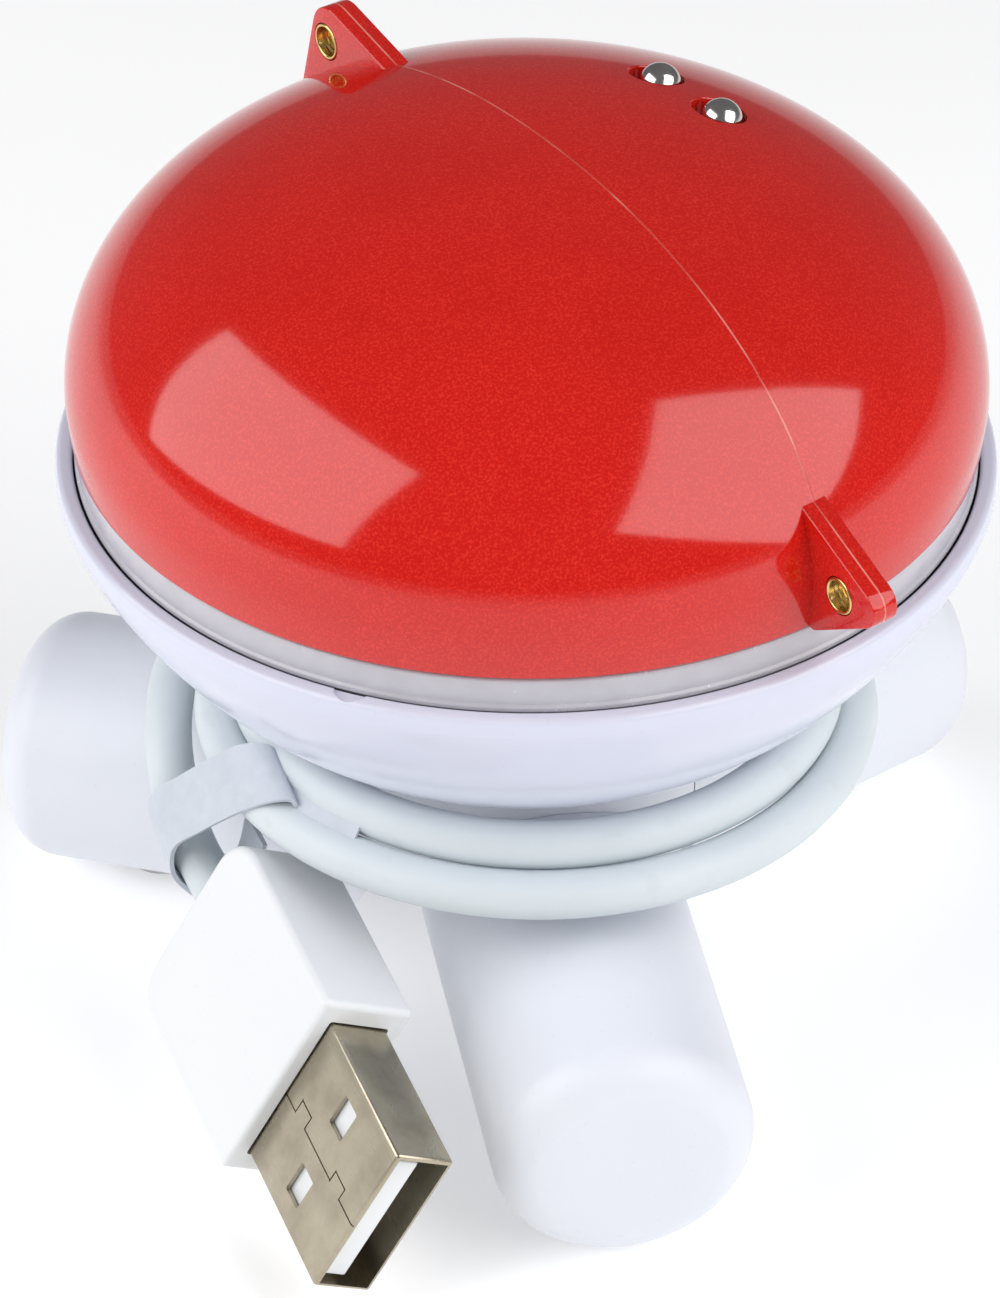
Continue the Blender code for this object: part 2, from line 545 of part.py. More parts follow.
# ---- cable --------------------------------------------------------------------------
def gland_matrix():
    """Z runs out along the lead; Z = 12 is on the neck's wall."""
    heading = math.radians(GLAND_TURN + GLAND_SKEW)
    x, y = on_circle(HUB_R, GLAND_TURN)
    return (Matrix.Translation((x, y, GLAND_Z)) @ Matrix.Rotation(heading, 4, "Z")
            @ Matrix.Rotation(math.radians(90), 4, "X") @ Matrix.Translation((0, 0, -HUB_R)))


def gland(ground, paint):
    shape = turned([(0, 9.5), (1.95, 9.5), (1.95, 13.2), (1.8, GLAND_TIP), (0, GLAND_TIP)], 16)
    bmesh.ops.transform(shape, verts=shape.verts, matrix=gland_matrix())
    add_mesh("cable_gland", shape, paint["cable"], ground)


def smooth_route(points, spacing):
    """A Catmull-Rom curve through the points, read at even steps."""
    ends = [points[0] * 2 - points[1]] + points + [points[-1] * 2 - points[-2]]
    fine = []
    for i in range(1, len(ends) - 2):
        a, b, c, d = ends[i - 1:i + 3]
        for step in range(24):
            t = step / 24
            fine.append(0.5 * (2 * b + (c - a) * t + (2 * a - 5 * b + 4 * c - d) * t * t
                               + (3 * b - a - 3 * c + d) * t ** 3))
    fine.append(points[-1])
    total = sum((fine[i + 1] - fine[i]).length for i in range(len(fine) - 1))
    count = max(2, round(total / spacing))
    picked, walked, target = [fine[0]], 0.0, total / count
    for i in range(len(fine) - 1):
        walked += (fine[i + 1] - fine[i]).length
        if walked >= target - 1e-9 and len(picked) < count:
            picked.append(fine[i + 1])
            target += total / count
    return picked + [fine[-1]]


def cable(ground, paint):
    ring = [(17.0, 19.9), (20.4, 19.9), (22.6, 21.1), (23.4, 22.2), (23.4, 23.4), (21.4, 26.2),
            (18.4, 26.2), (17.0, 24.8)]
    coil = turned(ring, 40)
    bmesh.ops.translate(coil, verts=coil.verts, vec=(COIL_X, COIL_Y, 0))
    add_mesh("cable_coil", coil, paint["cable"], ground)
    curve = bpy.data.curves.new("cable_tail", "CURVE")
    curve.dimensions = "3D"
    curve.bevel_depth = CABLE_R * MM
    curve.bevel_resolution = 2
    curve.use_fill_caps = True
    back = Vector(PLUG_AT) - plug_axis() * (MOULD_LONG + GAP)
    route = [Vector(p) for p in TAIL_ROUTE] + [back - plug_axis() * 3.2, back]
    points = smooth_route(route, 2.4 * CABLE_R)
    strand = curve.splines.new("POLY")
    strand.points.add(len(points) - 1)
    for spot, place in zip(strand.points, points):
        spot.co = (*(place * MM), 1.0)
    curve.materials.append(paint["cable"])
    made = bpy.data.objects.new("cable_tail", curve)
    made.parent = ground
    bpy.context.collection.objects.link(made)


# ---- plug ---------------------------------------------------------------------------
def plug_turn():
    """Local Z runs out of the plug, X across its width and Y through its thickness."""
    tilt = Matrix.Rotation(math.radians(90 + PLUG_DROOP), 4, "X")
    roll = Matrix.Rotation(math.radians(90 - PLUG_ROLL), 4, "Z")
    return Matrix.Rotation(math.radians(PLUG_TURN), 4, "Z") @ tilt @ roll


def plug_axis():
    return plug_turn().to_3x3() @ Vector((0, 0, 1))


def plug(ground, paint):
    frame = Matrix.Translation(PLUG_AT) @ plug_turn()
    wide, thick = MOULD_WIDE / 2, MOULD_THICK / 2
    mould = block((-wide, -thick, -MOULD_LONG), (wide, thick, 0), 1.2, 3)
    seat = block((-SHELL_WIDE / 2 - GAP, -SHELL_THICK / 2 - GAP, -4.0),
                 (SHELL_WIDE / 2 + GAP, SHELL_THICK / 2 + GAP, 2.0))
    shell = block((-SHELL_WIDE / 2, -SHELL_THICK / 2, -3.7), (SHELL_WIDE / 2, SHELL_THICK / 2, SHELL_LONG),
                  0.3, 1)
    hollow_wide, hollow_thick = SHELL_WIDE / 2 - SHELL_WALL, SHELL_THICK / 2 - SHELL_WALL
    hollow = block((-hollow_wide, -hollow_thick, -2.7), (hollow_wide, hollow_thick, SHELL_LONG + 2))
    tongue_face = hollow_thick - 0.12
    tongue = block((-5.2, tongue_face - TONGUE_THICK, -2.4), (5.2, tongue_face, SHELL_LONG - 0.9), 0.15, 1)
    holes = [block((side * 3.1 - 1.2, -4, 5.0), (side * 3.1 + 1.2, 4, 7.0)) for side in (-1, 1)]
    for shape in (mould, seat, shell, hollow, tongue, *holes):
        bmesh.ops.transform(shape, verts=shape.verts, matrix=frame)
    body = add_mesh("plug_overmould", mould, paint["plug"], ground)
    cut(body, guide_shape("cut_plug_seat", seat, ground))
    case = add_mesh("plug_shell", shell, paint["nickel"], ground)
    cut(case, guide_shape("cut_plug_hollow", hollow, ground))
    for number, hole in enumerate(holes, 1):
        cut(case, guide_shape(f"cut_plug_hole_{number}", hole, ground))
    add_mesh("plug_tongue", tongue, paint["plug"], ground)


# ---- strap --------------------------------------------------------------------------
def ribbon(far, near):
    """A thin band between two edge lines."""
    shape = bmesh.new()
    rings = []
    for i, (left, right) in enumerate(zip(far, near)):
        after, before = min(i + 1, len(far) - 1), max(i - 1, 0)
        ahead = far[after] + near[after] - far[before] - near[before]
        side = ahead.cross(right - left).normalized() * STRAP_THICK / 2
        rings.append([shape.verts.new(p) for p in (left + side, right + side, right - side, left - side)])
    for one, two in zip(rings, rings[1:]):
        for k in range(4):
            shape.faces.new((one[k], one[k - 1], two[k - 1], two[k]))
    shape.faces.new(rings[0])
    shape.faces.new(rings[-1][::-1])
    return shape


def strap(ground, paint):
    loop = ribbon([Vector(p) for p in STRAP_FAR], [Vector(p) for p in STRAP_NEAR])
    band = add_mesh("cable_strap", loop, paint["strap"], ground)
    edges = [[Vector((*on_circle(r, turn), z)) + Vector((COIL_X, COIL_Y, 0)) for turn in STRAP_END_TURNS]
             for r, z in STRAP_END]
    cut(band, guide_shape("guide_strap_end", ribbon(*edges), ground), "UNION")


def main():
    clear_scene()
    paint = finishes()
    ground = add_empty("table_level", (0.0, AXIS_Y, 0.0))
    base = add_empty("bowl_frame", (0.0, 0.0, EQUATOR_Z), 0.0, ground)
    dome = add_empty("dome_press_axis", (0.0, 0.0, EQUATOR_Z), SEAM_TURN, ground)
    stem = add_empty("switch_axis", (0.0, 0.0, EQUATOR_Z), 0.0, ground)
    dome_halves(dome, paint)
    dome_fittings(dome, paint)
    carrier(dome, base, paint)
    bowl(base, paint)
    retaining_screws(base, paint)
    springs(base, paint)
    electronics(base, paint)
    switch_stem(stem, paint)
    stand(ground, paint)
    gland(ground, paint)
    cable(ground, paint)
    plug(ground, paint)
    strap(ground, paint)


main()
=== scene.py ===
"""Looks of the push-top quiz buzzer: fine pieces, finishes, floor, lights and camera.

Shapes are made in millimetres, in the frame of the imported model, and turned into metres
when a piece is finished. Heights on the dome, the skirt and the bowl count from the dome's
widest circle; heights on the stand and the lead count from the table. Turns are in degrees
from -Y towards +X, seen from above.
"""
import math

import bmesh
import bpy
from mathutils import Matrix, Vector


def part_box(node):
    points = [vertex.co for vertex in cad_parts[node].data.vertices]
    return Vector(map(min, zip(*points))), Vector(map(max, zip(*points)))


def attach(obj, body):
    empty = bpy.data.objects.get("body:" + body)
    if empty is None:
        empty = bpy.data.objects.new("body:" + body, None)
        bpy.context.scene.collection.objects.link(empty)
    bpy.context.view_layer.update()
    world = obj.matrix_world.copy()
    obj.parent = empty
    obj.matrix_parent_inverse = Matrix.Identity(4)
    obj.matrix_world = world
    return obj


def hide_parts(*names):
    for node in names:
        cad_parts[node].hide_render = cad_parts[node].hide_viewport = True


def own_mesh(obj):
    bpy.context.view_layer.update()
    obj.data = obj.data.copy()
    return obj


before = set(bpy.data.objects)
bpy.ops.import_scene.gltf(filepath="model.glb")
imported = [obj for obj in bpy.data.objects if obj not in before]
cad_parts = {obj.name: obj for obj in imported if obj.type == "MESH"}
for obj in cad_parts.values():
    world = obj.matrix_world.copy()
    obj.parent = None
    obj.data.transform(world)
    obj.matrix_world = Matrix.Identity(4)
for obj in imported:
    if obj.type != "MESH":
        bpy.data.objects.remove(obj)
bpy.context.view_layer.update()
MM = 0.001


def node_box(name):
    """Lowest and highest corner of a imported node, in millimetres."""
    low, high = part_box(name)
    return low / MM, high / MM


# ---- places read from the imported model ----
bowl_low, bowl_high = node_box("bowl")
plate_low, plate_high = node_box("carrier_plate")
ring_top = node_box("skirt_ring")[1].z

AXIS = Vector(((plate_low.x + plate_high.x) / 2, (plate_low.y + plate_high.y) / 2, 0.0))
DOME_EDGE = -2.68              # the dome's lower edge, below its widest circle
GAP = 0.3                      # the air left between neighbouring parts
EQUATOR_Z = ring_top + GAP - DOME_EDGE
RIM_R = (bowl_high.x - bowl_low.x) / 2

# ---- dome ----
DOME_R = 30.9
DOME_RISE = 18.35
DOME_POWER = 2.08
DOME_EDGE_R = 30.64
DOME_EDGE_ROUND = 0.22
DOME_WALL = 1.8
SEAM_TURN = 24.8
SEAM_SHIFT = 1.0
SEAM_GAP = 0.02
EAR_THICK = 2.0
EAR_HOLE_R = 1.36
FRONT_EYE = (33.5, 1.45)
REAR_EYE = (23.4, 14.6)
STUD_ORBIT = 14.6
STUD_TURNS = (83.0, 107.0)
STUD_R = 1.45
STUD_SINK = 0.6                # middle of its round head, below the dome's face
WELL_R = 1.85                  # the recess each stud stands in
WELL_TURN = 1.1                # and how far it is turned past the stud
WELL_DEEP = 1.2
STUD_FOOT_ROUND = 0.1
POST_X, POST_Y = 21.0, 12.0    # the posts the carrier is screwed to
POST_R, POST_TOP = 2.6, 9.4
POST_HOLE_R, POST_HOLE_TOP = 1.2, 3.0
DIVIDER_REACH, DIVIDER_FOOT, DIVIDER_TOP = 60.0, -20.0, 40.0     # the block that parts the two halves
# each ear's outline on the parting plane: (distance from the axis, height, corner radius)
FRONT_EAR = [(29.2, -2.60, 0), (31.15, -2.66, 0.5), (38.55, 1.895, 1.4), (29.3, 6.04, 0), (28.2, 5.4, 0),
             (29.3, 2.8, 0), (29.5, 0.0, 0)]
REAR_EAR = [(15.5, 14.6, 0), (15.9, 15.66, 0), (24.505, 17.638, 2.0), (26.6, 9.35, 0), (25.4, 9.1, 0),
            (23.2, 11.4, 0), (20.0, 13.2, 0)]
EAR_EDGE = 0.14
SLEEVE_GAP, SLEEVE_BORE_R, SLEEVE_LIP, SLEEVE_RIDGES = 0.06, 0.98, 0.13, 5

# ---- bowl ----
RIM_TOP = -5.2
RIM_LIP_R = 30.54
WALL_TOP = -6.5
FOOT_R = 21.1
FOOT = -20.05
FLOOR_TOP = -18.4
WALL = 1.3
HOLLOW_TOP = -7.4              # where the bowl's inner face starts to curve in
BOWL_POWER = 1.24
NOTCH_TURN, NOTCH_R, NOTCH_ORBIT, NOTCH_DEEP = -32.6, 1.15, 30.45, 0.26
THREE_TURNS = (60.0, 180.0, 300.0)
SPRING_TURNS = (0.0, 120.0, 240.0)
GUIDE_ORBIT = 20.0
PIN_ORBIT = 10.5
SPRING_ORBIT = 17.2
BOWL_SCREW_ORBIT = 5.5
CARRIER_TOP, CARRIER_FOOT = -3.4, -5.0
BOARD_TOP, BOARD_FOOT = -13.3, -14.9
SPRING_SEAT = -16.6
ROOT = 0.6                     # how deep a post is rooted in the bowl's floor
GUIDE_R, GUIDE_TOP = 2.2, -3.3
PIN_R, PEG_R, PEG_RISE = 1.6, 0.7, 0.5                           # the pins and pegs under the board
SPRING_BOSS_R, SPRING_PEG_R, SPRING_PEG_TOP = 3.2, 1.3, -13.0
SCREW_HOLE_R = 1.2

# ---- screws ----
THREAD_PITCH = 0.55
THREAD_ROOT = 0.80             # the thread's root, as a share of the shank's radius
CROSS_HALF = 0.18              # half the width of the cross cut in a head

# ---- stand ----
HUB_R = 12.0
HUB_FOOT = 8.0
HUB_FOOT_R = 9.0               # it narrows below this height
HUB_TAPER_Z = 11.0
HUB_BORE_R, HUB_BORE_TOP = 5.0, 22.0
COVER_R, COVER_TOP = 7.6, 9.6
COVER_LIP_R, COVER_LIP_TOP = 3.6, 10.6
SADDLE_GAP = 0.06
LEG_R = 8.87
LEG_AXIS_Z = 11.48
LEG_SLOPE = 4.03
LEG_REACH = 37.09
LEG_ROUND = 3.12
LEG_START, LEG_STRAIGHT = 7.5, 20.0        # its straight side, along its axis
SPIGOT_R = 4.8
SPIGOT_END = 24.0
LEG_TURNS = {"front": 0.0, "right": 120.0, "left": 240.0}
PAD_REACH = 27.5
PAD_R = 3.0
LEG_SCREW_ORBIT = 18.0
COVER_SCREW_ORBIT = 6.4

# ---- lead ----
CABLE_R = 1.65
COIL = Vector((0.3, -2.7, 0.0))            # middle of the winding, from the neck's axis
GLAND_TURN = 60.0
GLAND_SKEW = 55.0
GLAND_Z = 21.8
GLAND_TIP = 15.4
GLAND_R, GLAND_HOLE_R = 1.95, 2.2
GLAND_RIBS, GLAND_RIBS_AT, GLAND_RIB_PITCH = 3, 13.0, 0.7
WIRE_HOLE_R, WIRE_HOLE_DROP, WIRE_HOLE_TURN = 1.5, 1.6, 22.0     # the way in for the wires, beside the gland
INNER, UPPER, OUTER = (18.4, 21.4), (19.5, 24.95), (21.9, 22.6)     # (radius, height) of each lap
LEAVING = (25.35, 22.85)
# how the lead moves from lap to lap: next place, from and to this turn, and how far it tucks out
LAP_MOVES = [(UPPER, (78, 126), -0.35), (OUTER, (400, 446), 0.0), (LEAVING, (722, 772), 0.0)]
WINDING_END, WINDING_STEP = 804, 7
CURL_STEPS = 8                 # of the arc from the gland to the inner lap
TAIL_ROUTE = [
    (0.8, 22.64, 22.85), (-5.77, 21.91, 22.85), (-11.94, 19.51, 22.65), (-17.27, 15.59, 22.3),
    (-21.1, 11.2, 21.75), (-23.6, 6.3, 21.0), (-24.75, 1.6, 19.5), (-24.8, -1.8, 17.2),
    (-24.2, -4.6, 14.9),
]
PLUG_RUN_IN, PLUG_ENTRY = 3.2, 1.2         # the straight run into the plug, outside and inside it
SHELL_WIDE, SHELL_THICK, SHELL_LONG, SHELL_WALL = 12.0, 4.5, 12.4, 0.32
MOULD_WIDE, MOULD_THICK, MOULD_LONG = 15.4, 7.2, 17.2
PLUG_AT = Vector((-19.32, -27.33, 10.65))
PLUG_TURN, PLUG_DROOP, PLUG_ROLL = 10.8, 7.4, 27.4
SEAT_ROOM = 0.12               # round the shell, in the moulding
SHELL_ROOT, SEAT_DEPTH = -3.7, -4.0
WINDOW_X, WINDOW_HALF, WINDOW_FOOT, WINDOW_TOP = 3.1, 1.2, 5.0, 7.0
# the folded joint down the shell's face, (across, along), and the hair-line cut along it
JOINT = [(-0.45, -1.0), (-0.45, 1.75), (0.65, 1.75), (0.55, 3.4), (-0.38, 3.4), (-0.45, 8.2), (0.45, 8.2),
         (0.38, 9.9), (-0.45, 9.9), (-0.5, SHELL_LONG + 0.5)]
JOINT_HALF, JOINT_DEEP, JOINT_STRAIGHT = 0.055, 0.16, 0.2
TONGUE_HALF, TONGUE_THICK = 5.2, 1.85
CONTACT_X, CONTACT_HALF = (-3.5, -1.15, 1.15, 3.5), 0.55
# the strap's two edges, (X, Y, Z) from the neck's axis: over the winding, round the tail and back under
STRAP_FAR = [
    (-18.7, -10.6, 25.6), (-19.4, -9.6, 26.35), (-21.2, -8.3, 25.7), (-23.2, -6.9, 23.7),
    (-25.1, -5.2, 21.2), (-26.6, -3.2, 18.6), (-26.8, -3.0, 16.2), (-25.7, -3.9, 13.5),
    (-23.3, -4.2, 12.0), (-21.0, -5.0, 14.0), (-20.3, -6.2, 18.2),
]
STRAP_NEAR = [
    (-17.9, -14.0, 23.9), (-18.6, -14.1, 25.0), (-20.2, -13.4, 24.5), (-22.2, -11.6, 22.4),
    (-24.3, -8.8, 19.0), (-25.8, -7.3, 16.8), (-26.0, -6.8, 14.4), (-25.2, -6.7, 12.7),
    (-23.4, -6.9, 11.4), (-20.6, -7.8, 13.2), (-19.6, -9.2, 17.6),
]
STRAP_THICK = 0.32
STRAP_END_TURNS = (-70.0, -62.0, -54.0, -45.0)     # its loose end lies in the winding's groove
STRAP_END_WIDE, STRAP_END_THICK, STRAP_END_LIFT = 1.7, 0.25, 1.1

# ---- lights and camera ----
WORLD_GLOW = 0.17
SOFTBOX_GLOW = 2.9
FILL_GLOW = 0.35
FLOOR_GLOW = 0.28
FLOOR_SIZE = 3.0
AIM_RISE = 8                   # the dome's middle, above its widest circle
# each light: name, middle in metres from the dome's middle, two sides, glow, seen in gloss or not
LIGHTS = [
    ("softbox_left", (-0.387, -0.021, 0.213), (0.110, -0.510, 0.062), (-0.176, -0.097, -0.319),
     SOFTBOX_GLOW, True),
    ("softbox_right", (0.298, -0.224, 0.251), (0.317, 0.111, -0.267), (-0.098, -0.348, -0.279),
     SOFTBOX_GLOW, True),
    ("fill_front", (-0.05, -0.55, 0.20), (0.60, 0.0, 0.0), (0.0, 0.15, 0.40), FILL_GLOW, False),
]
CAMERA_PLACE, CAMERA_LOOK = Vector((-67.54, -330.0, 272.66)), Vector((-1.66, 3.18, 24.84))
CAMERA_LENS, CAMERA_SENSOR, CAMERA_ROLL = 168.8, 36.0, 0.325

ROD_TWIST = 0.041              # keeps a rod's facets off the facets of what it cuts
WELD = 1e-4                    # corners closer than this become one


# ---- shapes ----
def lathe(profile, steps=128):
    """Turns a closed outline of (radius, height) points about Z."""
    shape = bmesh.new()
    corners = [shape.verts.new((r, 0.0, z)) for r, z in profile]
    edges = [shape.edges.new((corners[i - 1], corners[i])) for i in range(len(corners))
             if profile[i - 1][0] > 1e-6 or profile[i][0] > 1e-6]
    bmesh.ops.spin(shape, geom=corners + edges, cent=(0, 0, 0), axis=(0, 0, 1), angle=2 * math.pi,
                   steps=steps, use_merge=True)
    bmesh.ops.remove_doubles(shape, verts=shape.verts, dist=WELD)
    bmesh.ops.recalc_face_normals(shape, faces=shape.faces)
    return shape


def rounded(corners, steps=5):
    """An outline whose corners (x, y, radius) are turned into arcs."""
    points = []
    count = len(corners)
    for i, (x, y, radius) in enumerate(corners):
        here = Vector((x, y))
        if radius <= 0:
            points.append((x, y))
            continue
        back = (Vector(corners[i - 1][:2]) - here).normalized()
        ahead = (Vector(corners[(i + 1) % count][:2]) - here).normalized()
        half = back.angle(ahead) / 2
        middle = here + (back + ahead).normalized() * (radius / math.sin(half))
        start = here + back * (radius / math.tan(half)) - middle
        end = here + ahead * (radius / math.tan(half)) - middle
        sweep = start.angle_signed(end)
        for k in range(steps + 1):
            spoke = start.copy()
            spoke.rotate(Matrix.Rotation(-sweep * k / steps, 2))
            points.append(tuple(middle + spoke))
    return points


def arc(middle, radius, start, end, count):
    """Points along an arc between two angles in degrees."""
    angles = [math.radians(start + (end - start) * i / count) for i in range(count + 1)]
    return [(middle[0] + radius * math.cos(a), middle[1] + radius * math.sin(a)) for a in angles]


def rod(radius, foot, top, centre=(0.0, 0.0), steps=48, edge=0.0):
    """A round bar along Z, with rounded ends where edge is given."""
    if edge:
        profile = [(0, foot)] + arc((radius - edge, foot + edge), edge, -90, 0, 4)
        profile += arc((radius - edge, top - edge), edge, 0, 90, 4) + [(0, top)]
    else:
        profile = [(0, foot), (radius, foot), (radius, top), (0, top)]
    shape = lathe(profile, steps)
    return moved(shape, Matrix.Translation((*centre, 0)) @ Matrix.Rotation(ROD_TWIST, 4, "Z"))


def block(low, high, edge=0.0, segments=3):
    """A box between two corners."""
    shape = bmesh.new()
    bmesh.ops.create_cube(shape, size=1.0)
    bmesh.ops.scale(shape, vec=Vector(high) - Vector(low), verts=shape.verts)
    bmesh.ops.translate(shape, vec=(Vector(high) + Vector(low)) / 2, verts=shape.verts)
    if edge:
        bmesh.ops.bevel(shape, geom=shape.edges[:], offset=edge, affect="EDGES", segments=segments,
                        profile=0.5, material=-1)
    return shape


def slab(outline, low, high, edge=0.0, segments=3):
    """An outline in (X, Y), given thickness along Z, with its two rims rounded."""
    shape = bmesh.new()
    face = shape.faces.new([shape.verts.new((x, y, low)) for x, y in outline])
    grown = bmesh.ops.extrude_face_region(shape, geom=[face])
    raised = [v for v in grown["geom"] if isinstance(v, bmesh.types.BMVert)]
    bmesh.ops.translate(shape, verts=raised, vec=(0, 0, high - low))
    bmesh.ops.recalc_face_normals(shape, faces=shape.faces)
    if edge:
        rims = [e for e in shape.edges if abs(e.verts[0].co.z - e.verts[1].co.z) < 1e-6]
        bmesh.ops.bevel(shape, geom=rims, offset=edge, affect="EDGES", segments=segments, profile=0.5,
                        material=-1, clamp_overlap=True)
    return shape


def moved(shape, matrix):
    bmesh.ops.transform(shape, matrix=matrix, verts=shape.verts)
    return shape


def joined(*shapes):
    """Puts separate solids into one shape."""
    whole = bmesh.new()
    for shape in shapes:
        mesh = bpy.data.meshes.new("part")
        shape.to_mesh(mesh)
        shape.free()
        whole.from_mesh(mesh)
        bpy.data.meshes.remove(mesh)
    return whole


def carved(shape, tools, operation="DIFFERENCE"):
    """Cuts the tools out of the shape, or with UNION grows them onto it."""
    group = bpy.data.collections.new("tools")
    bpy.context.scene.collection.children.link(group)
    made = []
    for name, form in [("body", shape)] + [("tool", tool) for tool in tools]:
        mesh = bpy.data.meshes.new(name)
        form.to_mesh(mesh)
        form.free()
        made.append(bpy.data.objects.new(name, mesh))
    bpy.context.scene.collection.objects.link(made[0])
    for tool in made[1:]:
        group.objects.link(tool)
    change = made[0].modifiers.new("carve", "BOOLEAN")
    change.operation = operation
    change.solver = "EXACT"
    change.operand_type = "COLLECTION"
    change.collection = group
    evaluated = made[0].evaluated_get(bpy.context.evaluated_depsgraph_get())
    result = bmesh.new()
    result.from_mesh(evaluated.to_mesh())
    evaluated.to_mesh_clear()
    bmesh.ops.remove_doubles(result, verts=result.verts, dist=WELD)
    bmesh.ops.dissolve_degenerate(result, dist=WELD, edges=result.edges)
    for thing in made:
        mesh = thing.data
        bpy.data.objects.remove(thing, do_unlink=True)
        bpy.data.meshes.remove(mesh)
    bpy.data.collections.remove(group)
    return result


def piece(name, shape, finish, body, nodes, smooth=32.0):
    """Finishes a shape: metres, shading, material, body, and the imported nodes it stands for."""
    bmesh.ops.scale(shape, vec=(MM, MM, MM), verts=shape.verts)
    mesh = bpy.data.meshes.new(name)
    shape.to_mesh(mesh)
    shape.free()
    mesh.materials.clear()
    mesh.materials.append(finish)
    for face in mesh.polygons:
        face.material_index = 0
    mesh.shade_smooth()
    mesh.set_sharp_from_angle(angle=math.radians(smooth))
    made = bpy.data.objects.new(name, mesh)
    bpy.context.scene.collection.objects.link(made)
    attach(made, body)
    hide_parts(*nodes)
    return made


def around(radius, turn):
    """A point at this turn from -Y towards +X."""
    return radius * math.sin(math.radians(turn)), -radius * math.cos(math.radians(turn))


def spin_z(turn):
    return Matrix.Rotation(math.radians(turn), 4, "Z")


TABLE = Matrix.Translation(AXIS)
LEVEL = Matrix.Translation(AXIS + Vector((0, 0, EQUATOR_Z)))
SEAM = LEVEL @ spin_z(SEAM_TURN)


# ---- finishes ----
class Signal:
    """A number or colour on its way through a material; numbers take +, -, * and abs()."""

    def __init__(self, finish, socket):
        self.finish = finish
        self.socket = socket

    def math(self, operation, first, second=None):
        values = {0: first} if second is None else {0: first, 1: second}
        return self.finish.node("ShaderNodeMath", {"operation": operation}, values)

    def __add__(self, other):
        return self.math("ADD", self, other)

    def __sub__(self, other):
        return self.math("SUBTRACT", self, other)

    def __rsub__(self, other):
        return self.math("SUBTRACT", other, self)

    def __mul__(self, other):
        return self.math("MULTIPLY", self, other)

    def __abs__(self):
        return self.math("ABSOLUTE", self)

    __radd__ = __add__
    __rmul__ = __mul__


class Finish:
    """One material; node() adds a node and gives back the signal of one of its outputs."""

    def __init__(self, name, **constants):
        self.material = bpy.data.materials.new(name)
        self.material.use_nodes = True
        self.tree = self.material.node_tree
        self.shader = self.tree.nodes["Principled BSDF"]
        for socket, value in constants.items():
            self.shader.inputs[socket.replace("_", " ")].default_value = value
        self.place = self.node("ShaderNodeTexCoord", {}, {}, "Object")

    def node(self, kind, settings, values, output=0):
        made = self.tree.nodes.new(kind)
        for key, value in settings.items():
            if key == "stops":
                self.ramp(made, value)
            else:
                setattr(made, key, value)
        for key, value in values.items():
            if isinstance(value, Signal):
                self.tree.links.new(value.socket, made.inputs[key])
            else:
                made.inputs[key].default_value = value
        return Signal(self, made.outputs[output])

    @staticmethod
    def ramp(made, stops):
        elements = made.color_ramp.elements
        while len(elements) < len(stops):
            elements.new(1.0)
        for element, (position, level) in zip(elements, stops):
            element.position = position
            element.color = (level, level, level, 1.0)

    def noise(self, size, detail=2.0, rough=0.5, place=None):
        """Cloudy noise whose lumps are this many millimetres across."""
        return self.node("ShaderNodeTexNoise", {}, {"Vector": place or self.place, "Scale": 1000 / size,
                                                    "Detail": detail, "Roughness": rough})

    def fade(self, signal, low, high):
        """0 below low, 1 above high."""
        return self.node("ShaderNodeMapRange", {"interpolation_type": "SMOOTHSTEP"},
                         {"Value": signal, "From Min": low, "From Max": high})

    def between(self, amount, first, second):
        first, second = [c if isinstance(c, Signal) else (*c, 1.0) for c in (first, second)]
        return self.node("ShaderNodeMix", {"data_type": "RGBA"}, {0: amount, 6: first, 7: second}, 2)

    def along(self, direction):
        """How far a point lies along a direction, in metres."""
        return self.node("ShaderNodeVectorMath", {"operation": "DOT_PRODUCT"},
                         {0: self.place, 1: tuple(direction)}, "Value")

    def turned_place(self, matrix, stretch=(1.0, 1.0, 1.0)):
        """Coordinates in a turned frame, stretched for streaks."""
        return self.node("ShaderNodeMapping", {"vector_type": "TEXTURE"},
                         {"Vector": self.place, "Rotation": tuple(matrix.to_euler()),
                          "Scale": tuple(stretch)})

    def colour(self, signal):
        self.tree.links.new(signal.socket, self.shader.inputs["Base Color"])

    def rough(self, signal):
        self.tree.links.new(signal.socket, self.shader.inputs["Roughness"])

    def bump(self, height, depth, strength=1.0):
        """Depth is in millimetres."""
        made = self.node("ShaderNodeBump", {}, {"Height": height, "Distance": depth * MM,
                                                "Strength": strength}, "Normal")
        self.tree.links.new(made.socket, self.shader.inputs["Normal"])


def red_shell():
    """Glossy red moulding with a fine fleck; along its parting line a hair of paler red is painted on as a
    highlight, where the seam's edge would catch the light.
    """
    finish = Finish("red_shell_finish", IOR=1.5, Coat_Weight=0.15, Coat_Roughness=0.04)
    fleck = finish.noise(0.16, 1.0)
    cloud = finish.noise(9.0, 2.0)
    base = finish.between(finish.fade(fleck, 0.42, 0.72), (0.58, 0.007, 0.004), (0.72, 0.024, 0.012))
    base = finish.between(finish.fade(cloud, 0.35, 0.75) * 0.25, base, (0.50, 0.006, 0.003))
    across = Vector((math.cos(math.radians(SEAM_TURN)), math.sin(math.radians(SEAM_TURN)), 0))
    offset = (across.dot(AXIS) + SEAM_SHIFT) * MM
    # painted highlight: a hair of paler red along the parting line, standing in for the light its edge would
    # catch
    line = 1 - finish.fade(abs(finish.along(across) - offset), 0.03 * MM, 0.085 * MM)
    # breaks the painted seam highlight into patches along its length
    seam_highlight_patchiness = finish.fade(finish.noise(5.0, 2.0), 0.40, 0.60) * 0.6 + 0.25
    # (0.90, 0.34, 0.26) is the colour of the painted seam highlight
    finish.colour(finish.between(line * seam_highlight_patchiness, base, (0.90, 0.34, 0.26)))
    finish.rough(fleck * 0.05 + 0.075)
    finish.bump(finish.noise(0.30, 2.0) * 0.5 + finish.noise(3.5, 1.0) + line * 2.0, 0.006, 0.5)
    return finish.material


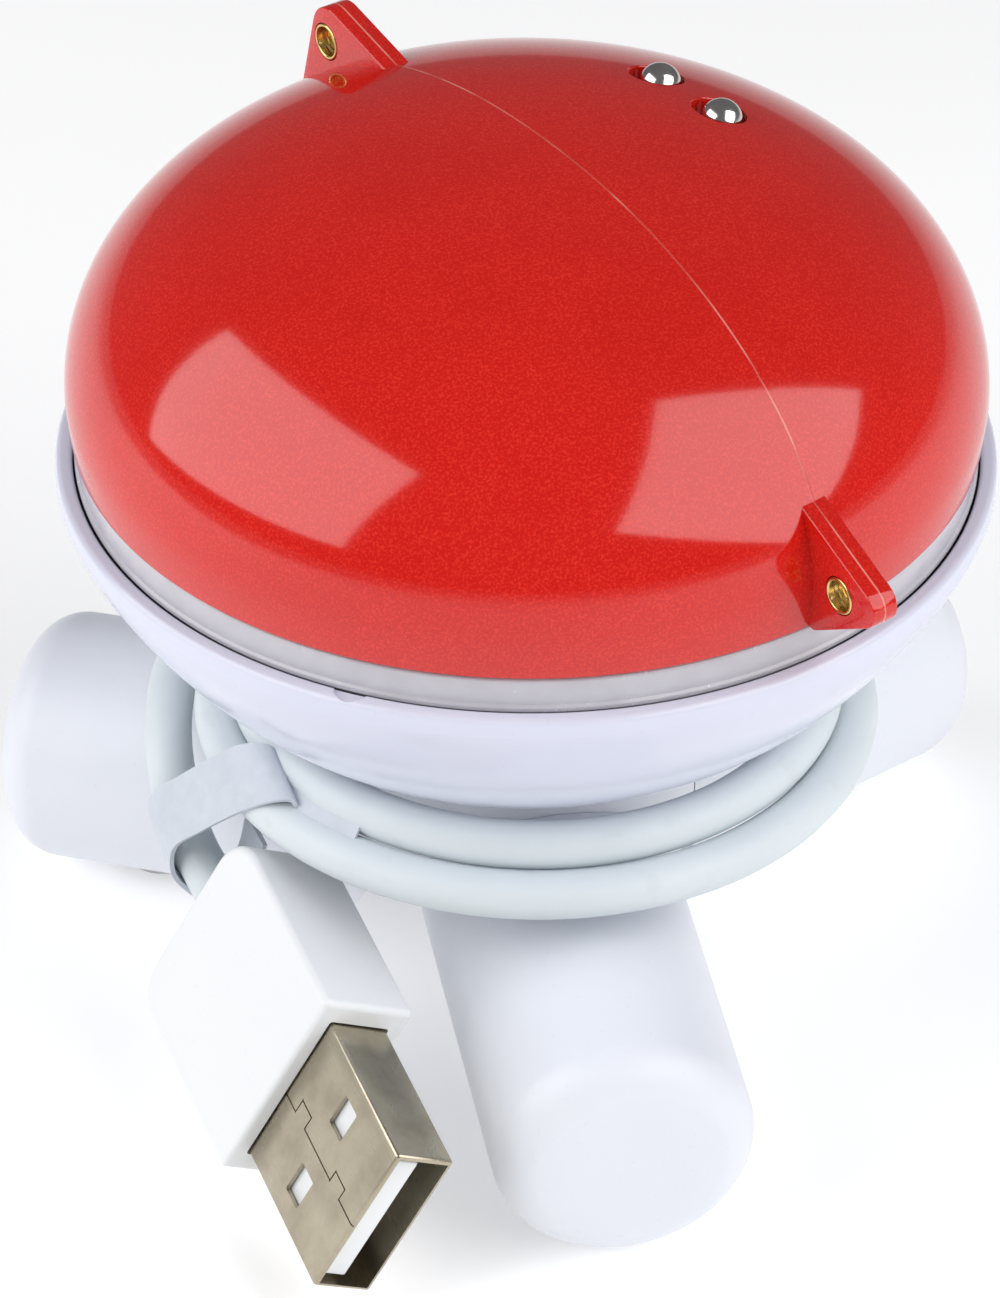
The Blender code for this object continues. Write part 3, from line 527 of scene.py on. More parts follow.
def clear_ring():
    """Milky see-through plastic."""
    finish = Finish("clear_ring_finish", IOR=1.49, Transmission_Weight=0.25, Coat_Weight=0.2)
    haze = finish.noise(1.8, 3.0)
    finish.colour(finish.between(haze, (0.60, 0.585, 0.64), (0.74, 0.73, 0.79)))
    finish.rough(haze * 0.2 + 0.14)
    finish.bump(finish.noise(0.5, 2.0), 0.01, 0.4)
    return finish.material


def moulded_white(name, pale, shade, gloss, grain, lift):
    """White moulding: slow colour drift, a moulded grain and a little uneven gloss."""
    finish = Finish(name, IOR=1.48)
    drift = finish.noise(14.0, 2.0)
    speck = finish.fade(finish.noise(0.5, 1.0), 0.70, 0.78) * 0.10
    base = finish.between(drift, pale, shade)
    finish.colour(finish.between(speck, base, tuple(c * 0.7 for c in shade)))
    finish.rough(finish.noise(2.2, 2.0) * 0.10 + gloss)
    finish.bump(finish.noise(grain, 3.0) + finish.noise(6.0, 1.0) * 0.8, lift, 0.6)
    return finish.material


def jacket():
    """Soft matt sheath of the lead."""
    finish = Finish("cable_jacket_finish", IOR=1.46, Subsurface_Weight=0.05)
    finish.shader.inputs["Subsurface Radius"].default_value = (0.001, 0.001, 0.001)
    drift = finish.noise(7.0, 3.0)
    base = finish.between(drift, (0.60, 0.655, 0.685), (0.70, 0.75, 0.775))
    smudge = finish.fade(finish.noise(2.6, 4.0), 0.60, 0.72) * 0.12
    finish.colour(finish.between(smudge, base, (0.44, 0.45, 0.46)))
    finish.rough(drift * 0.12 + 0.42)
    finish.bump(finish.noise(0.35, 2.0), 0.012, 0.5)
    return finish.material


def film():
    """Cloudy strap film, creased and seen through a little."""
    finish = Finish("strap_film_finish", IOR=1.45, Transmission_Weight=0.15)
    crease = finish.noise(1.4, 4.0, 0.6)
    finish.colour(finish.between(crease, (0.56, 0.61, 0.69), (0.72, 0.76, 0.81)))
    finish.rough(crease * 0.2 + 0.28)
    finish.bump(crease + finish.noise(4.0, 2.0), 0.10, 0.7)
    return finish.material


def plated(name, pale, dark, gloss, stretch=(1.0, 1.0, 1.0), matrix=None, lump=1.2):
    """Bare or plated metal: drawn streaks, cloudy tarnish and fine pits."""
    finish = Finish(name, Metallic=1.0)
    place = finish.turned_place(matrix or Matrix.Identity(3), stretch)
    streak = finish.noise(0.25, 3.0, 0.6, place)
    cloud = finish.noise(lump, 4.0, 0.6)
    finish.colour(finish.between(finish.fade(cloud, 0.3, 0.75), pale, dark))
    finish.rough(streak * 0.10 + cloud * 0.08 + gloss)
    finish.bump(streak + finish.noise(0.12, 2.0) * 0.5, 0.005, 0.5)
    return finish.material


def rubber():
    finish = Finish("rubber_pad_finish", IOR=1.5)
    grain = finish.noise(0.22, 3.0)
    finish.colour(finish.between(finish.noise(2.0, 3.0), (0.46, 0.46, 0.48), (0.58, 0.58, 0.60)))
    finish.rough(grain * 0.15 + 0.72)
    finish.bump(grain, 0.03, 0.6)
    return finish.material


def board():
    """Green solder mask with copper runs under it."""
    finish = Finish("circuit_board_finish", IOR=1.5, Coat_Weight=0.4, Coat_Roughness=0.1)
    cells = finish.node("ShaderNodeTexBrick", {"offset": 0.5},
                        {"Vector": finish.place, "Scale": 260.0, "Mortar Size": 0.035,
                         "Color1": (0, 0, 0, 1), "Color2": (0, 0, 0, 1), "Mortar": (1, 1, 1, 1)}, "Color")
    base = finish.between(finish.noise(3.0, 2.0), (0.012, 0.13, 0.05), (0.02, 0.17, 0.07))
    finish.colour(finish.between(cells * 0.6, base, (0.10, 0.36, 0.14)))
    finish.rough(cells * 0.1 + 0.3)
    finish.bump(cells, 0.03, 0.4)
    return finish.material


def black_moulding():
    finish = Finish("black_plastic_finish", IOR=1.5)
    grain = finish.noise(0.18, 3.0)
    finish.colour(finish.between(finish.noise(2.0, 3.0), (0.012, 0.012, 0.013), (0.03, 0.03, 0.032)))
    finish.rough(grain * 0.2 + 0.38)
    finish.bump(grain, 0.02, 0.5)
    return finish.material


def red_lens():
    finish = Finish("red_lens_finish", IOR=1.54, Transmission_Weight=0.4)
    haze = finish.noise(0.9, 3.0)
    finish.colour(finish.between(haze, (0.75, 0.05, 0.035), (0.86, 0.11, 0.08)))
    finish.rough(haze * 0.1 + 0.08)
    finish.bump(haze, 0.01, 0.3)
    return finish.material


PAINT = {
    "red": red_shell(),
    "clear": clear_ring(),
    "gloss": moulded_white("white_gloss_finish", (0.70, 0.715, 0.83), (0.64, 0.66, 0.79), 0.10, 0.9, 0.008),
    "satin": moulded_white("white_satin_finish", (0.79, 0.81, 0.86), (0.73, 0.755, 0.82), 0.36, 0.30, 0.012),
    "plug": moulded_white("plug_mould_finish", (0.84, 0.85, 0.855), (0.79, 0.805, 0.82), 0.30, 0.22, 0.010),
    "cable": jacket(),
    "strap": film(),
    "brass": plated("brass_insert_finish", (0.80, 0.60, 0.24), (0.55, 0.38, 0.12), 0.16),
    "steel": plated("steel_stud_finish", (0.74, 0.72, 0.69), (0.60, 0.57, 0.53), 0.06),
    "zinc": plated("zinc_screw_finish", (0.62, 0.63, 0.64), (0.45, 0.45, 0.46), 0.26),
    "spring": plated("spring_steel_finish", (0.55, 0.55, 0.56), (0.36, 0.36, 0.37), 0.22),
    "rubber": rubber(),
    "board": board(),
    "black": black_moulding(),
    "lens": red_lens(),
}


# ---- dome ----
def swell(radius, rise, count, power=DOME_POWER):
    """The dome's curve from its widest circle up to the crown."""
    angles = [math.pi / 2 * i / count for i in range(count)]
    points = [(radius * math.cos(a) ** (2 / power), rise * math.sin(a) ** (2 / power)) for a in angles]
    return points + [(0.0, rise)]


def upright_plate(outline, edge):
    """An ear: its outline stands on the parting plane, (Y, Z), and its thickness is across it."""
    shape = slab(outline, -EAR_THICK / 2, EAR_THICK / 2, edge, 3)
    onto_plane = Matrix(((0, 0, 1, SEAM_SHIFT), (1, 0, 0, 0), (0, 1, 0, 0), (0, 0, 0, 1)))
    return moved(shape, onto_plane)


def across_seam(shape, eye):
    """Lays a shape made along Z across the parting plane, centred on an ear's eye."""
    turn = Matrix.Rotation(math.pi / 2, 4, "Y")
    return moved(shape, Matrix.Translation((SEAM_SHIFT, *eye)) @ turn)


def dome_normal(x, y):
    """The dome's height and its outward direction over a point, from the dome's own frame."""
    r = math.hypot(x, y)
    z = DOME_RISE * (1 - (r / DOME_R) ** DOME_POWER) ** (1 / DOME_POWER)
    rise = z ** (DOME_POWER - 1) / DOME_RISE ** DOME_POWER
    lean = r ** (DOME_POWER - 1) / DOME_R ** DOME_POWER
    return z, Vector((x / r * lean, y / r * lean, rise)).normalized()


def dome():
    rim = [(DOME_EDGE_R - DOME_WALL, DOME_EDGE), (DOME_EDGE_R - 0.25, DOME_EDGE)]
    rim += arc((DOME_EDGE_R - DOME_EDGE_ROUND, DOME_EDGE + DOME_EDGE_ROUND), DOME_EDGE_ROUND, -80, 0, 4)
    inner = swell(DOME_R - DOME_WALL, DOME_RISE - DOME_WALL, 22)
    shell = lathe(rim + swell(DOME_R, DOME_RISE, 56) + inner[::-1], 176)
    front, rear = rounded(FRONT_EAR, 8), rounded(REAR_EAR, 8)
    posts = [(across * POST_X, row * POST_Y) for across in (-1, 1) for row in (-1, 1)]
    growths = [upright_plate([(-r, z) for r, z in front], EAR_EDGE), upright_plate(rear, EAR_EDGE)]
    growths += [rod(POST_R, CARRIER_TOP + GAP, POST_TOP, post, 32) for post in posts]
    whole = carved(shell, growths, "UNION")
    cuts = [across_seam(rod(EAR_HOLE_R, -3, 3), eye)
            for eye in ((-FRONT_EYE[0], FRONT_EYE[1]), REAR_EYE)]
    cuts += [rod(POST_HOLE_R, CARRIER_TOP - 1, POST_HOLE_TOP, post, 24) for post in posts]
    for turn in STUD_TURNS:
        x, y = around(STUD_ORBIT, turn + WELL_TURN)
        z, normal = dome_normal(x, y)
        cuts.append(rod(WELL_R, z - WELL_DEEP, z + 2, (x, y), 64))
        mouth = [(0, -0.25), (WELL_R + 0.04, -0.25)] + arc((WELL_R + 0.24, -0.2), 0.2, 180, 90, 6)
        mouth += [(WELL_R + 0.7, 0.05), (WELL_R + 0.7, 2.0), (0, 2.0)]
        lay = Matrix.Translation((x, y, z)) @ normal.to_track_quat("Z", "Y").to_matrix().to_4x4()
        cuts.append(moved(lathe(mouth, 64), lay))
    whole = carved(whole, cuts)
    for side, sign in (("left", -1), ("right", 1)):
        low, high = sorted((SEAM_SHIFT + sign * SEAM_GAP / 2, -sign * DIVIDER_REACH))
        divider = block((low, -DIVIDER_REACH, DIVIDER_FOOT), (high, DIVIDER_REACH, DIVIDER_TOP))
        half = carved(whole.copy(), [divider])
        piece(f"dome_half_{side}_shell", moved(half, SEAM), PAINT["red"], "dome", [f"dome_half_{side}"],
              28)
    whole.free()


def ear_inserts():
    """Brass sleeves with rolled rims and a threaded bore."""
    outer, half = EAR_HOLE_R - SLEEVE_GAP, EAR_THICK / 2
    for name, eye in (("front", (-FRONT_EYE[0], FRONT_EYE[1])), ("rear", REAR_EYE)):
        profile = [(outer, -half + 0.1), (outer, half - 0.1)]
        profile += arc((outer - SLEEVE_LIP, half - 0.07), SLEEVE_LIP, 0, 180, 6)
        for i in range(SLEEVE_RIDGES):
            top = half - 0.15 - (2 * half - 0.3) * i / SLEEVE_RIDGES
            foot = top - (half - 0.15) / SLEEVE_RIDGES
            profile += [(SLEEVE_BORE_R + 0.06, top), (SLEEVE_BORE_R - 0.04, foot)]
        profile += arc((outer - SLEEVE_LIP, -half + 0.07), SLEEVE_LIP, 180, 360, 6)
        piece(f"ear_sleeve_{name}", moved(across_seam(lathe(profile, 64), eye), SEAM), PAINT["brass"],
              "dome", [f"ear_insert_{name}"], 40)


def studs():
    """Two round-headed pins, each standing in its own recess."""
    for number, turn in enumerate(STUD_TURNS, 1):
        x, y = around(STUD_ORBIT, turn)
        top = dome_normal(x, y)[0]
        foot = top - WELL_DEEP + 0.1
        profile = [(0, foot), (STUD_R - STUD_FOOT_ROUND, foot), (STUD_R, foot + STUD_FOOT_ROUND)]
        profile += arc((0, top - STUD_SINK), STUD_R, 0, 90, 24)[:-1] + [(0, top - STUD_SINK + STUD_R)]
        shape = moved(lathe(profile, 64), SEAM @ Matrix.Translation((x, y, 0)))
        piece(f"stud_{number}_ball", shape, PAINT["steel"], "dome", [f"stud_{number}"], 60)


def skirt():
    top, foot = DOME_EDGE - GAP, -5.45
    profile = rounded([(29.1, top, 0.12), (30.27, top, 0.22), (30.27, -4.9, 0.1), (30.42, -5.08, 0.08),
                       (30.42, foot, 0.12), (29.7, foot, 0), (29.7, -6.2, 0.1), (27.8, -6.2, 0.1),
                       (27.8, -5.3, 0.1), (29.1, -5.3, 0)], 4)
    piece("skirt_ring_clear", moved(lathe(profile, 176), LEVEL), PAINT["clear"], "dome", ["skirt_ring"])


def carrier():
    """The plate inside the dome that the guides and the switch stem meet."""
    profile = rounded([(0, CARRIER_FOOT - GAP, 0), (2.2, CARRIER_FOOT - GAP, 0.1), (2.2, CARRIER_FOOT, 0),
                       (28.6, CARRIER_FOOT, 0.2), (28.6, CARRIER_TOP, 0.2), (20.0, CARRIER_TOP, 0),
                       (19.6, CARRIER_TOP - 0.3, 0), (0, CARRIER_TOP - 0.3, 0)], 3)
    holes = [moved(rod(1.3, -8, 0, (x * POST_X, y * POST_Y), 24), spin_z(SEAM_TURN))
             for x in (-1, 1) for y in (-1, 1)]
    holes += [rod(2.65, -8, 0, around(GUIDE_ORBIT, turn), 40) for turn in THREE_TURNS]
    piece("carrier_plate_disc", moved(carved(lathe(profile, 96), holes), LEVEL), PAINT["satin"], "dome",
          ["carrier_plate"])


# ---- screws ----
def screw(name, head, shank, body, head_up, wide_head=False):
    """A cross-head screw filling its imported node's box; head is its height, shank its radius."""
    low, high = node_box(name)
    head_r, length = (high.x - low.x) / 2, high.z - low.z
    crown = 0.35 if wide_head else 0.18
    profile = [(0, 0), (head_r * 0.55, 0), (head_r - crown, -crown * 0.35), (head_r, -crown),
               (head_r, 0.1 - head), (head_r - 0.1, -head), (shank, -head)]
    root = shank * THREAD_ROOT
    for i in range(int((length - head - 0.6) / THREAD_PITCH)):
        top = -head - 0.2 - THREAD_PITCH * i
        profile += [(root, top), (root, top - THREAD_PITCH * 0.4), (shank, top - THREAD_PITCH * 0.7)]
    profile += [(shank * 0.7, -length), (0, -length)]
    reach, depth = head_r * 0.55, head * 0.55
    cross = [moved(block((-reach, -CROSS_HALF, -depth), (reach, CROSS_HALF, 0.6)), spin_z(turn))
             for turn in (0, 90)]
    shape = carved(lathe(profile, 36), cross)
    turn = spin_z(37.0 * (sum(map(ord, name)) % 7))          # no two crosses stand alike
    flip = Matrix.Identity(4) if head_up else Matrix.Rotation(math.pi, 4, "X")
    seat = Vector(((low.x + high.x) / 2, (low.y + high.y) / 2, high.z if head_up else low.z))
    piece(name + "_threaded", moved(shape, Matrix.Translation(seat) @ flip @ turn), PAINT["zinc"], body,
          [name], 40)


def screws():
    for number in (1, 2, 3):
        screw(f"cover_screw_{number}", 0.9, 0.65, "base", False)
        screw(f"bowl_screw_{number}", 1.2, 0.85, "base", True)
        screw(f"retaining_screw_{number}", 1.2, 0.9, "base", True, True)
    for number in (1, 2, 3, 4):
        screw(f"carrier_screw_{number}", 1.2, 0.9, "dome", False)
    for name in LEG_TURNS:
        screw(f"leg_screw_{name}", 1.3, 0.8, "base", False)


# ---- bowl ----
def hollow(radius, foot_radius, top, foot, count):
    """The bowl's curve from its wall down to the edge of its foot."""
    points = []
    for i in range(count + 1):
        a = math.pi / 2 * i / count
        r = foot_radius + (radius - foot_radius) * max(math.cos(a), 0.0) ** (2 / BOWL_POWER)
        points.append((r, top - (top - foot) * math.sin(a) ** (2 / BOWL_POWER)))
    return points


def bowl():
    rim = [(RIM_LIP_R, RIM_TOP - 0.42)] + arc((RIM_LIP_R + 0.32, RIM_TOP - 0.32), 0.32, 170, 90, 5)
    rim += arc((RIM_R - 0.5, RIM_TOP - 0.5), 0.5, 84, 6, 6)
    profile = rim + hollow(RIM_R, FOOT_R, WALL_TOP, FOOT, 40)
    profile += [(FOOT_R - 2.0, FOOT), (0, FOOT), (0, FLOOR_TOP)]
    profile += hollow(RIM_LIP_R, FOOT_R - WALL, HOLLOW_TOP, FLOOR_TOP, 16)[::-1]
    root = FLOOR_TOP - ROOT
    growths, cuts = [], []
    for turn in THREE_TURNS:
        guide, peg, hole = (around(orbit, turn) for orbit in (GUIDE_ORBIT, PIN_ORBIT, BOWL_SCREW_ORBIT))
        growths += [rod(GUIDE_R, root, GUIDE_TOP, guide, 32), rod(PIN_R, root, BOARD_FOOT - GAP, peg, 24),
                    rod(PEG_R, root, BOARD_TOP + PEG_RISE, peg, 24)]
        cuts += [rod(SCREW_HOLE_R, -9.0, 0, guide, 24),
                 rod(SCREW_HOLE_R, FOOT - 1, FLOOR_TOP + 1, hole, 24)]
    for turn in SPRING_TURNS:
        seat = around(SPRING_ORBIT, turn)
        growths += [rod(SPRING_BOSS_R, root, SPRING_SEAT, seat, 40),
                    rod(SPRING_PEG_R, root, SPRING_PEG_TOP, seat, 32)]
    cuts.append(rod(NOTCH_R, RIM_TOP - NOTCH_DEEP, RIM_TOP + 1, around(NOTCH_ORBIT, NOTCH_TURN), 64))
    shape = carved(carved(lathe(profile, 176), growths, "UNION"), cuts)
    piece("bowl_shell", moved(shape, LEVEL), PAINT["gloss"], "base", ["bowl"], 30)


def return_springs():
    """Wire helices."""
    wire, turns, per_turn, travel = 0.35, 5.5, 28, 2.0
    for number in (1, 2, 3):
        low, high = node_box(f"return_spring_{number}")
        orbit = (high.y - low.y) / 2 - wire
        count = round(turns * per_turn)
        shape = bmesh.new()
        bmesh.ops.create_circle(shape, cap_ends=False, segments=10, radius=wire)
        start = Matrix.Translation((orbit, 0, wire)) @ Matrix.Rotation(math.pi / 2, 4, "X")
        bmesh.ops.transform(shape, matrix=start, verts=shape.verts)
        climb = (high.z - low.z - 2 * wire) / count
        bmesh.ops.spin(shape, geom=shape.verts[:] + shape.edges[:], cent=(0, 0, 0), axis=(0, 0, 1),
                       dvec=(0, 0, climb), angle=turns * 2 * math.pi, steps=count)
        bmesh.ops.holes_fill(shape, edges=[e for e in shape.edges if e.is_boundary], sides=10)
        bmesh.ops.recalc_face_normals(shape, faces=shape.faces)
        seat = Vector(((low.x + high.x) / 2, (low.y + high.y) / 2, low.z))
        made = piece(f"return_spring_{number}_wire", moved(shape, Matrix.Translation(seat)),
                     PAINT["spring"], "base", [f"return_spring_{number}"], 50)
        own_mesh(made)


# ---- stand ----
def leg_frame(turn):
    """Z runs out along a leg's axis, falling a little towards its tip."""
    tilt = Matrix.Rotation(math.radians(90 + LEG_SLOPE), 4, "X")
    return Matrix.Translation((0, 0, LEG_AXIS_Z)) @ spin_z(turn) @ tilt


def gland_frame():
    """Z runs out along the gland, which leaves the hub at a slant."""
    x, y = around(HUB_R, GLAND_TURN)
    return (Matrix.Translation((x, y, GLAND_Z)) @ spin_z(GLAND_TURN + GLAND_SKEW)
            @ Matrix.Rotation(math.pi / 2, 4, "X") @ Matrix.Translation((0, 0, -HUB_R)))


def hub():
    top = EQUATOR_Z + FOOT - GAP
    profile = rounded([(COVER_R + GAP, HUB_FOOT, 0.1), (HUB_FOOT_R, HUB_FOOT, 0.35),
                       (HUB_R, HUB_TAPER_Z, 0.6),
                       (HUB_R, top, 0.3), (0, top, 0), (0, HUB_BORE_TOP, 0), (HUB_BORE_R, HUB_BORE_TOP, 0),
                       (HUB_BORE_R, COVER_TOP + GAP, 0), (COVER_R + GAP, COVER_TOP + GAP, 0)], 4)
    spigots = [moved(rod(SPIGOT_R, 9.0, SPIGOT_END, steps=40, edge=0.4), leg_frame(turn))
               for turn in LEG_TURNS.values()]
    inlet = rod(WIRE_HOLE_R, 4.0, 10.0, steps=24)
    lay = (Matrix.Translation((0, 0, GLAND_Z - WIRE_HOLE_DROP)) @ spin_z(GLAND_TURN - WIRE_HOLE_TURN)
           @ Matrix.Rotation(math.pi / 2, 4, "X"))
    cuts = [moved(rod(GLAND_HOLE_R, 6.0, 16.0, steps=40), gland_frame()), moved(inlet, lay)]
    for turn in THREE_TURNS:
        cuts += [rod(SCREW_HOLE_R, 22.7, 30, around(BOWL_SCREW_ORBIT, turn), 24),
                 rod(0.95, 9.0, 15.5, around(COVER_SCREW_ORBIT, turn), 24)]
    cuts += [rod(1.1, 0, 9.0, around(LEG_SCREW_ORBIT, turn), 24) for turn in LEG_TURNS.values()]
    shape = carved(carved(lathe(profile, 96), spigots, "UNION"), cuts)
    piece("hub_core", moved(shape, TABLE), PAINT["satin"], "base", ["hub"])
    cover = rounded([(0, HUB_FOOT, 0), (COVER_R, HUB_FOOT, 0.25), (COVER_R, COVER_TOP, 0.1),
                     (HUB_BORE_R - GAP, COVER_TOP, 0), (HUB_BORE_R - GAP, COVER_LIP_TOP, 0.1),
                     (COVER_LIP_R, COVER_LIP_TOP, 0.1), (COVER_LIP_R, COVER_TOP, 0), (0, COVER_TOP, 0)], 4)
    holes = [rod(1.1, 7.0, 9.2, around(COVER_SCREW_ORBIT, turn), 32) for turn in THREE_TURNS]
    holes += [rod(0.9, 7.0, 11.5, around(COVER_SCREW_ORBIT, turn), 32) for turn in THREE_TURNS]
    piece("bottom_cover_disc", moved(carved(lathe(cover, 96), holes), TABLE), PAINT["satin"], "base",
          ["bottom_cover"])


def legs():
    inner, flat = SPIGOT_R + GAP, LEG_R - LEG_ROUND
    profile = [(inner, LEG_START), (LEG_R, LEG_START), (LEG_R, LEG_STRAIGHT)]
    profile += arc((flat, LEG_REACH - LEG_ROUND), LEG_ROUND, 0, 80, 12)
    profile += [(4.2, LEG_REACH - 0.03), (0, LEG_REACH), (0, SPIGOT_END + GAP), (inner, SPIGOT_END + GAP)]
    for name, turn in LEG_TURNS.items():
        pad, fixing = around(PAD_REACH, turn), around(LEG_SCREW_ORBIT, turn)
        cuts = [rod(HUB_R + SADDLE_GAP, -5, 30, steps=96), rod(PAD_R + GAP, -2, 1.9, pad),
                rod(2.2, -2, 4.2, fixing), rod(1.1, 0, 9.0, fixing, 24)]
        shape = carved(moved(lathe(profile, 112), leg_frame(turn)), cuts)
        piece(f"leg_{name}_moulding", moved(shape, TABLE), PAINT["satin"], "base", [f"leg_{name}"],
              30)
        foot = [(0, 0.3), (0.9, 0.3), (1.2, 0.0), (PAD_R - 0.35, 0.0), (PAD_R, 0.35), (PAD_R, 1.6), (0, 1.6)]
        piece(f"foot_pad_{name}_disc", moved(lathe(foot, 48), TABLE @ Matrix.Translation((*pad, 0))),
              PAINT["rubber"], "base", [f"foot_pad_{name}"])


# ---- lead ----
def smooth(points, per_span):
    """A Catmull-Rom curve through the points."""
    ends = [points[0] * 2 - points[1]] + points + [points[-1] * 2 - points[-2]]
    fine = []
    for a, b, c, d in zip(ends, ends[1:], ends[2:], ends[3:]):
        for step in range(per_span):
            t = step / per_span
            fine.append(0.5 * (2 * b + (c - a) * t + (2 * a - 5 * b + 4 * c - d) * t * t
                               + (3 * b - a - 3 * c + d) * t ** 3))
    return fine + [points[-1]]


def ease(turn, start, end):
    """0 before start, 1 after end, and smooth between."""
    t = min(max((turn - start) / (end - start), 0.0), 1.0)
    return t * t * (3 - 2 * t)


def plug_frame():
    """Z runs out of the plug, X across its width, and Y is its pierced face."""
    tilt = Matrix.Rotation(math.radians(90 + PLUG_DROOP), 4, "X")
    roll = Matrix.Rotation(math.radians(90 - PLUG_ROLL), 4, "Z")
    return TABLE @ Matrix.Translation(PLUG_AT) @ spin_z(PLUG_TURN) @ tilt @ roll


def winding():
    """Middle of the lead round the neck, from the gland to where the tail leaves.

    The lead curls out of the gland on an arc to the inner lap. Behind the buzzer each lap moves
    to its next place only after the one outside it has moved: outer to tail, upper to outer, and
    inner to upper.
    """
    leave = gland_frame()
    start = leave @ Vector((0, 0, GLAND_TIP - 1.0)) - COIL
    tip = leave @ Vector((0, 0, GLAND_TIP)) - COIL
    along = (tip - start).normalized()
    left = Vector((-along.y, along.x))
    flat = Vector((tip.x, tip.y))
    bend = (INNER[0] ** 2 - flat.length_squared) / (2 * (flat.dot(left) + INNER[0]))
    middle = flat + left * bend
    sweep = math.atan2(middle.y, middle.x) - math.atan2(-left.y, -left.x)
    points = [start]
    for i in range(CURL_STEPS):
        spoke = -left * bend
        spoke.rotate(Matrix.Rotation(sweep * i / CURL_STEPS, 2))
        drop = (INNER[1] - GLAND_Z) * i / CURL_STEPS
        points.append(Vector((*(middle + spoke), GLAND_Z + drop)))
    first = math.degrees(math.atan2(middle.y, middle.x))
    steps = round((WINDING_END - first) / WINDING_STEP)
    for i in range(steps + 1):
        turn = first + (WINDING_END - first) * i / steps
        radius, height = INNER
        for (r, z), (begin, finish), tuck in LAP_MOVES:
            t = ease(turn, begin, finish)
            radius += (r - radius) * t + tuck * math.sin(math.pi * t)
            height += (z - height) * t
        points.append(Vector((radius * math.cos(math.radians(turn)),
                              radius * math.sin(math.radians(turn)), height)))
    return [p + COIL for p in points]


def cable():
    """The lead from gland to plug."""
    out = plug_frame().to_3x3() @ Vector((0, 0, 1))
    back = PLUG_AT - out * (MOULD_LONG + GAP)
    tail = [Vector(p) for p in TAIL_ROUTE] + [back - out * PLUG_RUN_IN, back, back + out * PLUG_ENTRY]
    line = smooth(winding() + tail, 4)
    curve = bpy.data.curves.new("cable_lead", "CURVE")
    curve.dimensions = "3D"
    curve.bevel_depth = CABLE_R * MM
    curve.bevel_resolution = 7
    curve.use_fill_caps = True
    strand = curve.splines.new("POLY")
    strand.points.add(len(line) - 1)
    for spot, point in zip(strand.points, line):
        spot.co = (*((point + AXIS) * MM), 1.0)
    curve.materials.append(PAINT["cable"])
    made = bpy.data.objects.new("cable_lead", curve)
    bpy.context.scene.collection.objects.link(made)
    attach(made, "base")
    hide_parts("cable_coil", "cable_tail")
    tuple((line[0] + AXIS) * MM)


def gland():
    profile = [(0, 9.5), (GLAND_R, 9.5), (GLAND_R, GLAND_RIBS_AT)]
    for i in range(GLAND_RIBS):
        at, groove = GLAND_RIBS_AT + GLAND_RIB_PITCH * i, 1.72 - 0.03 * i
        profile += [(GLAND_R - 0.05 * i, at + 0.35), (groove, at + 0.45), (groove, at + 0.65)]
    profile += [(1.78, GLAND_TIP - 0.15), (1.7, GLAND_TIP), (0, GLAND_TIP)]
    return piece("cable_gland_sleeve", moved(lathe(profile, 48), TABLE @ gland_frame()), PAINT["plug"],
                 "base", ["cable_gland"])


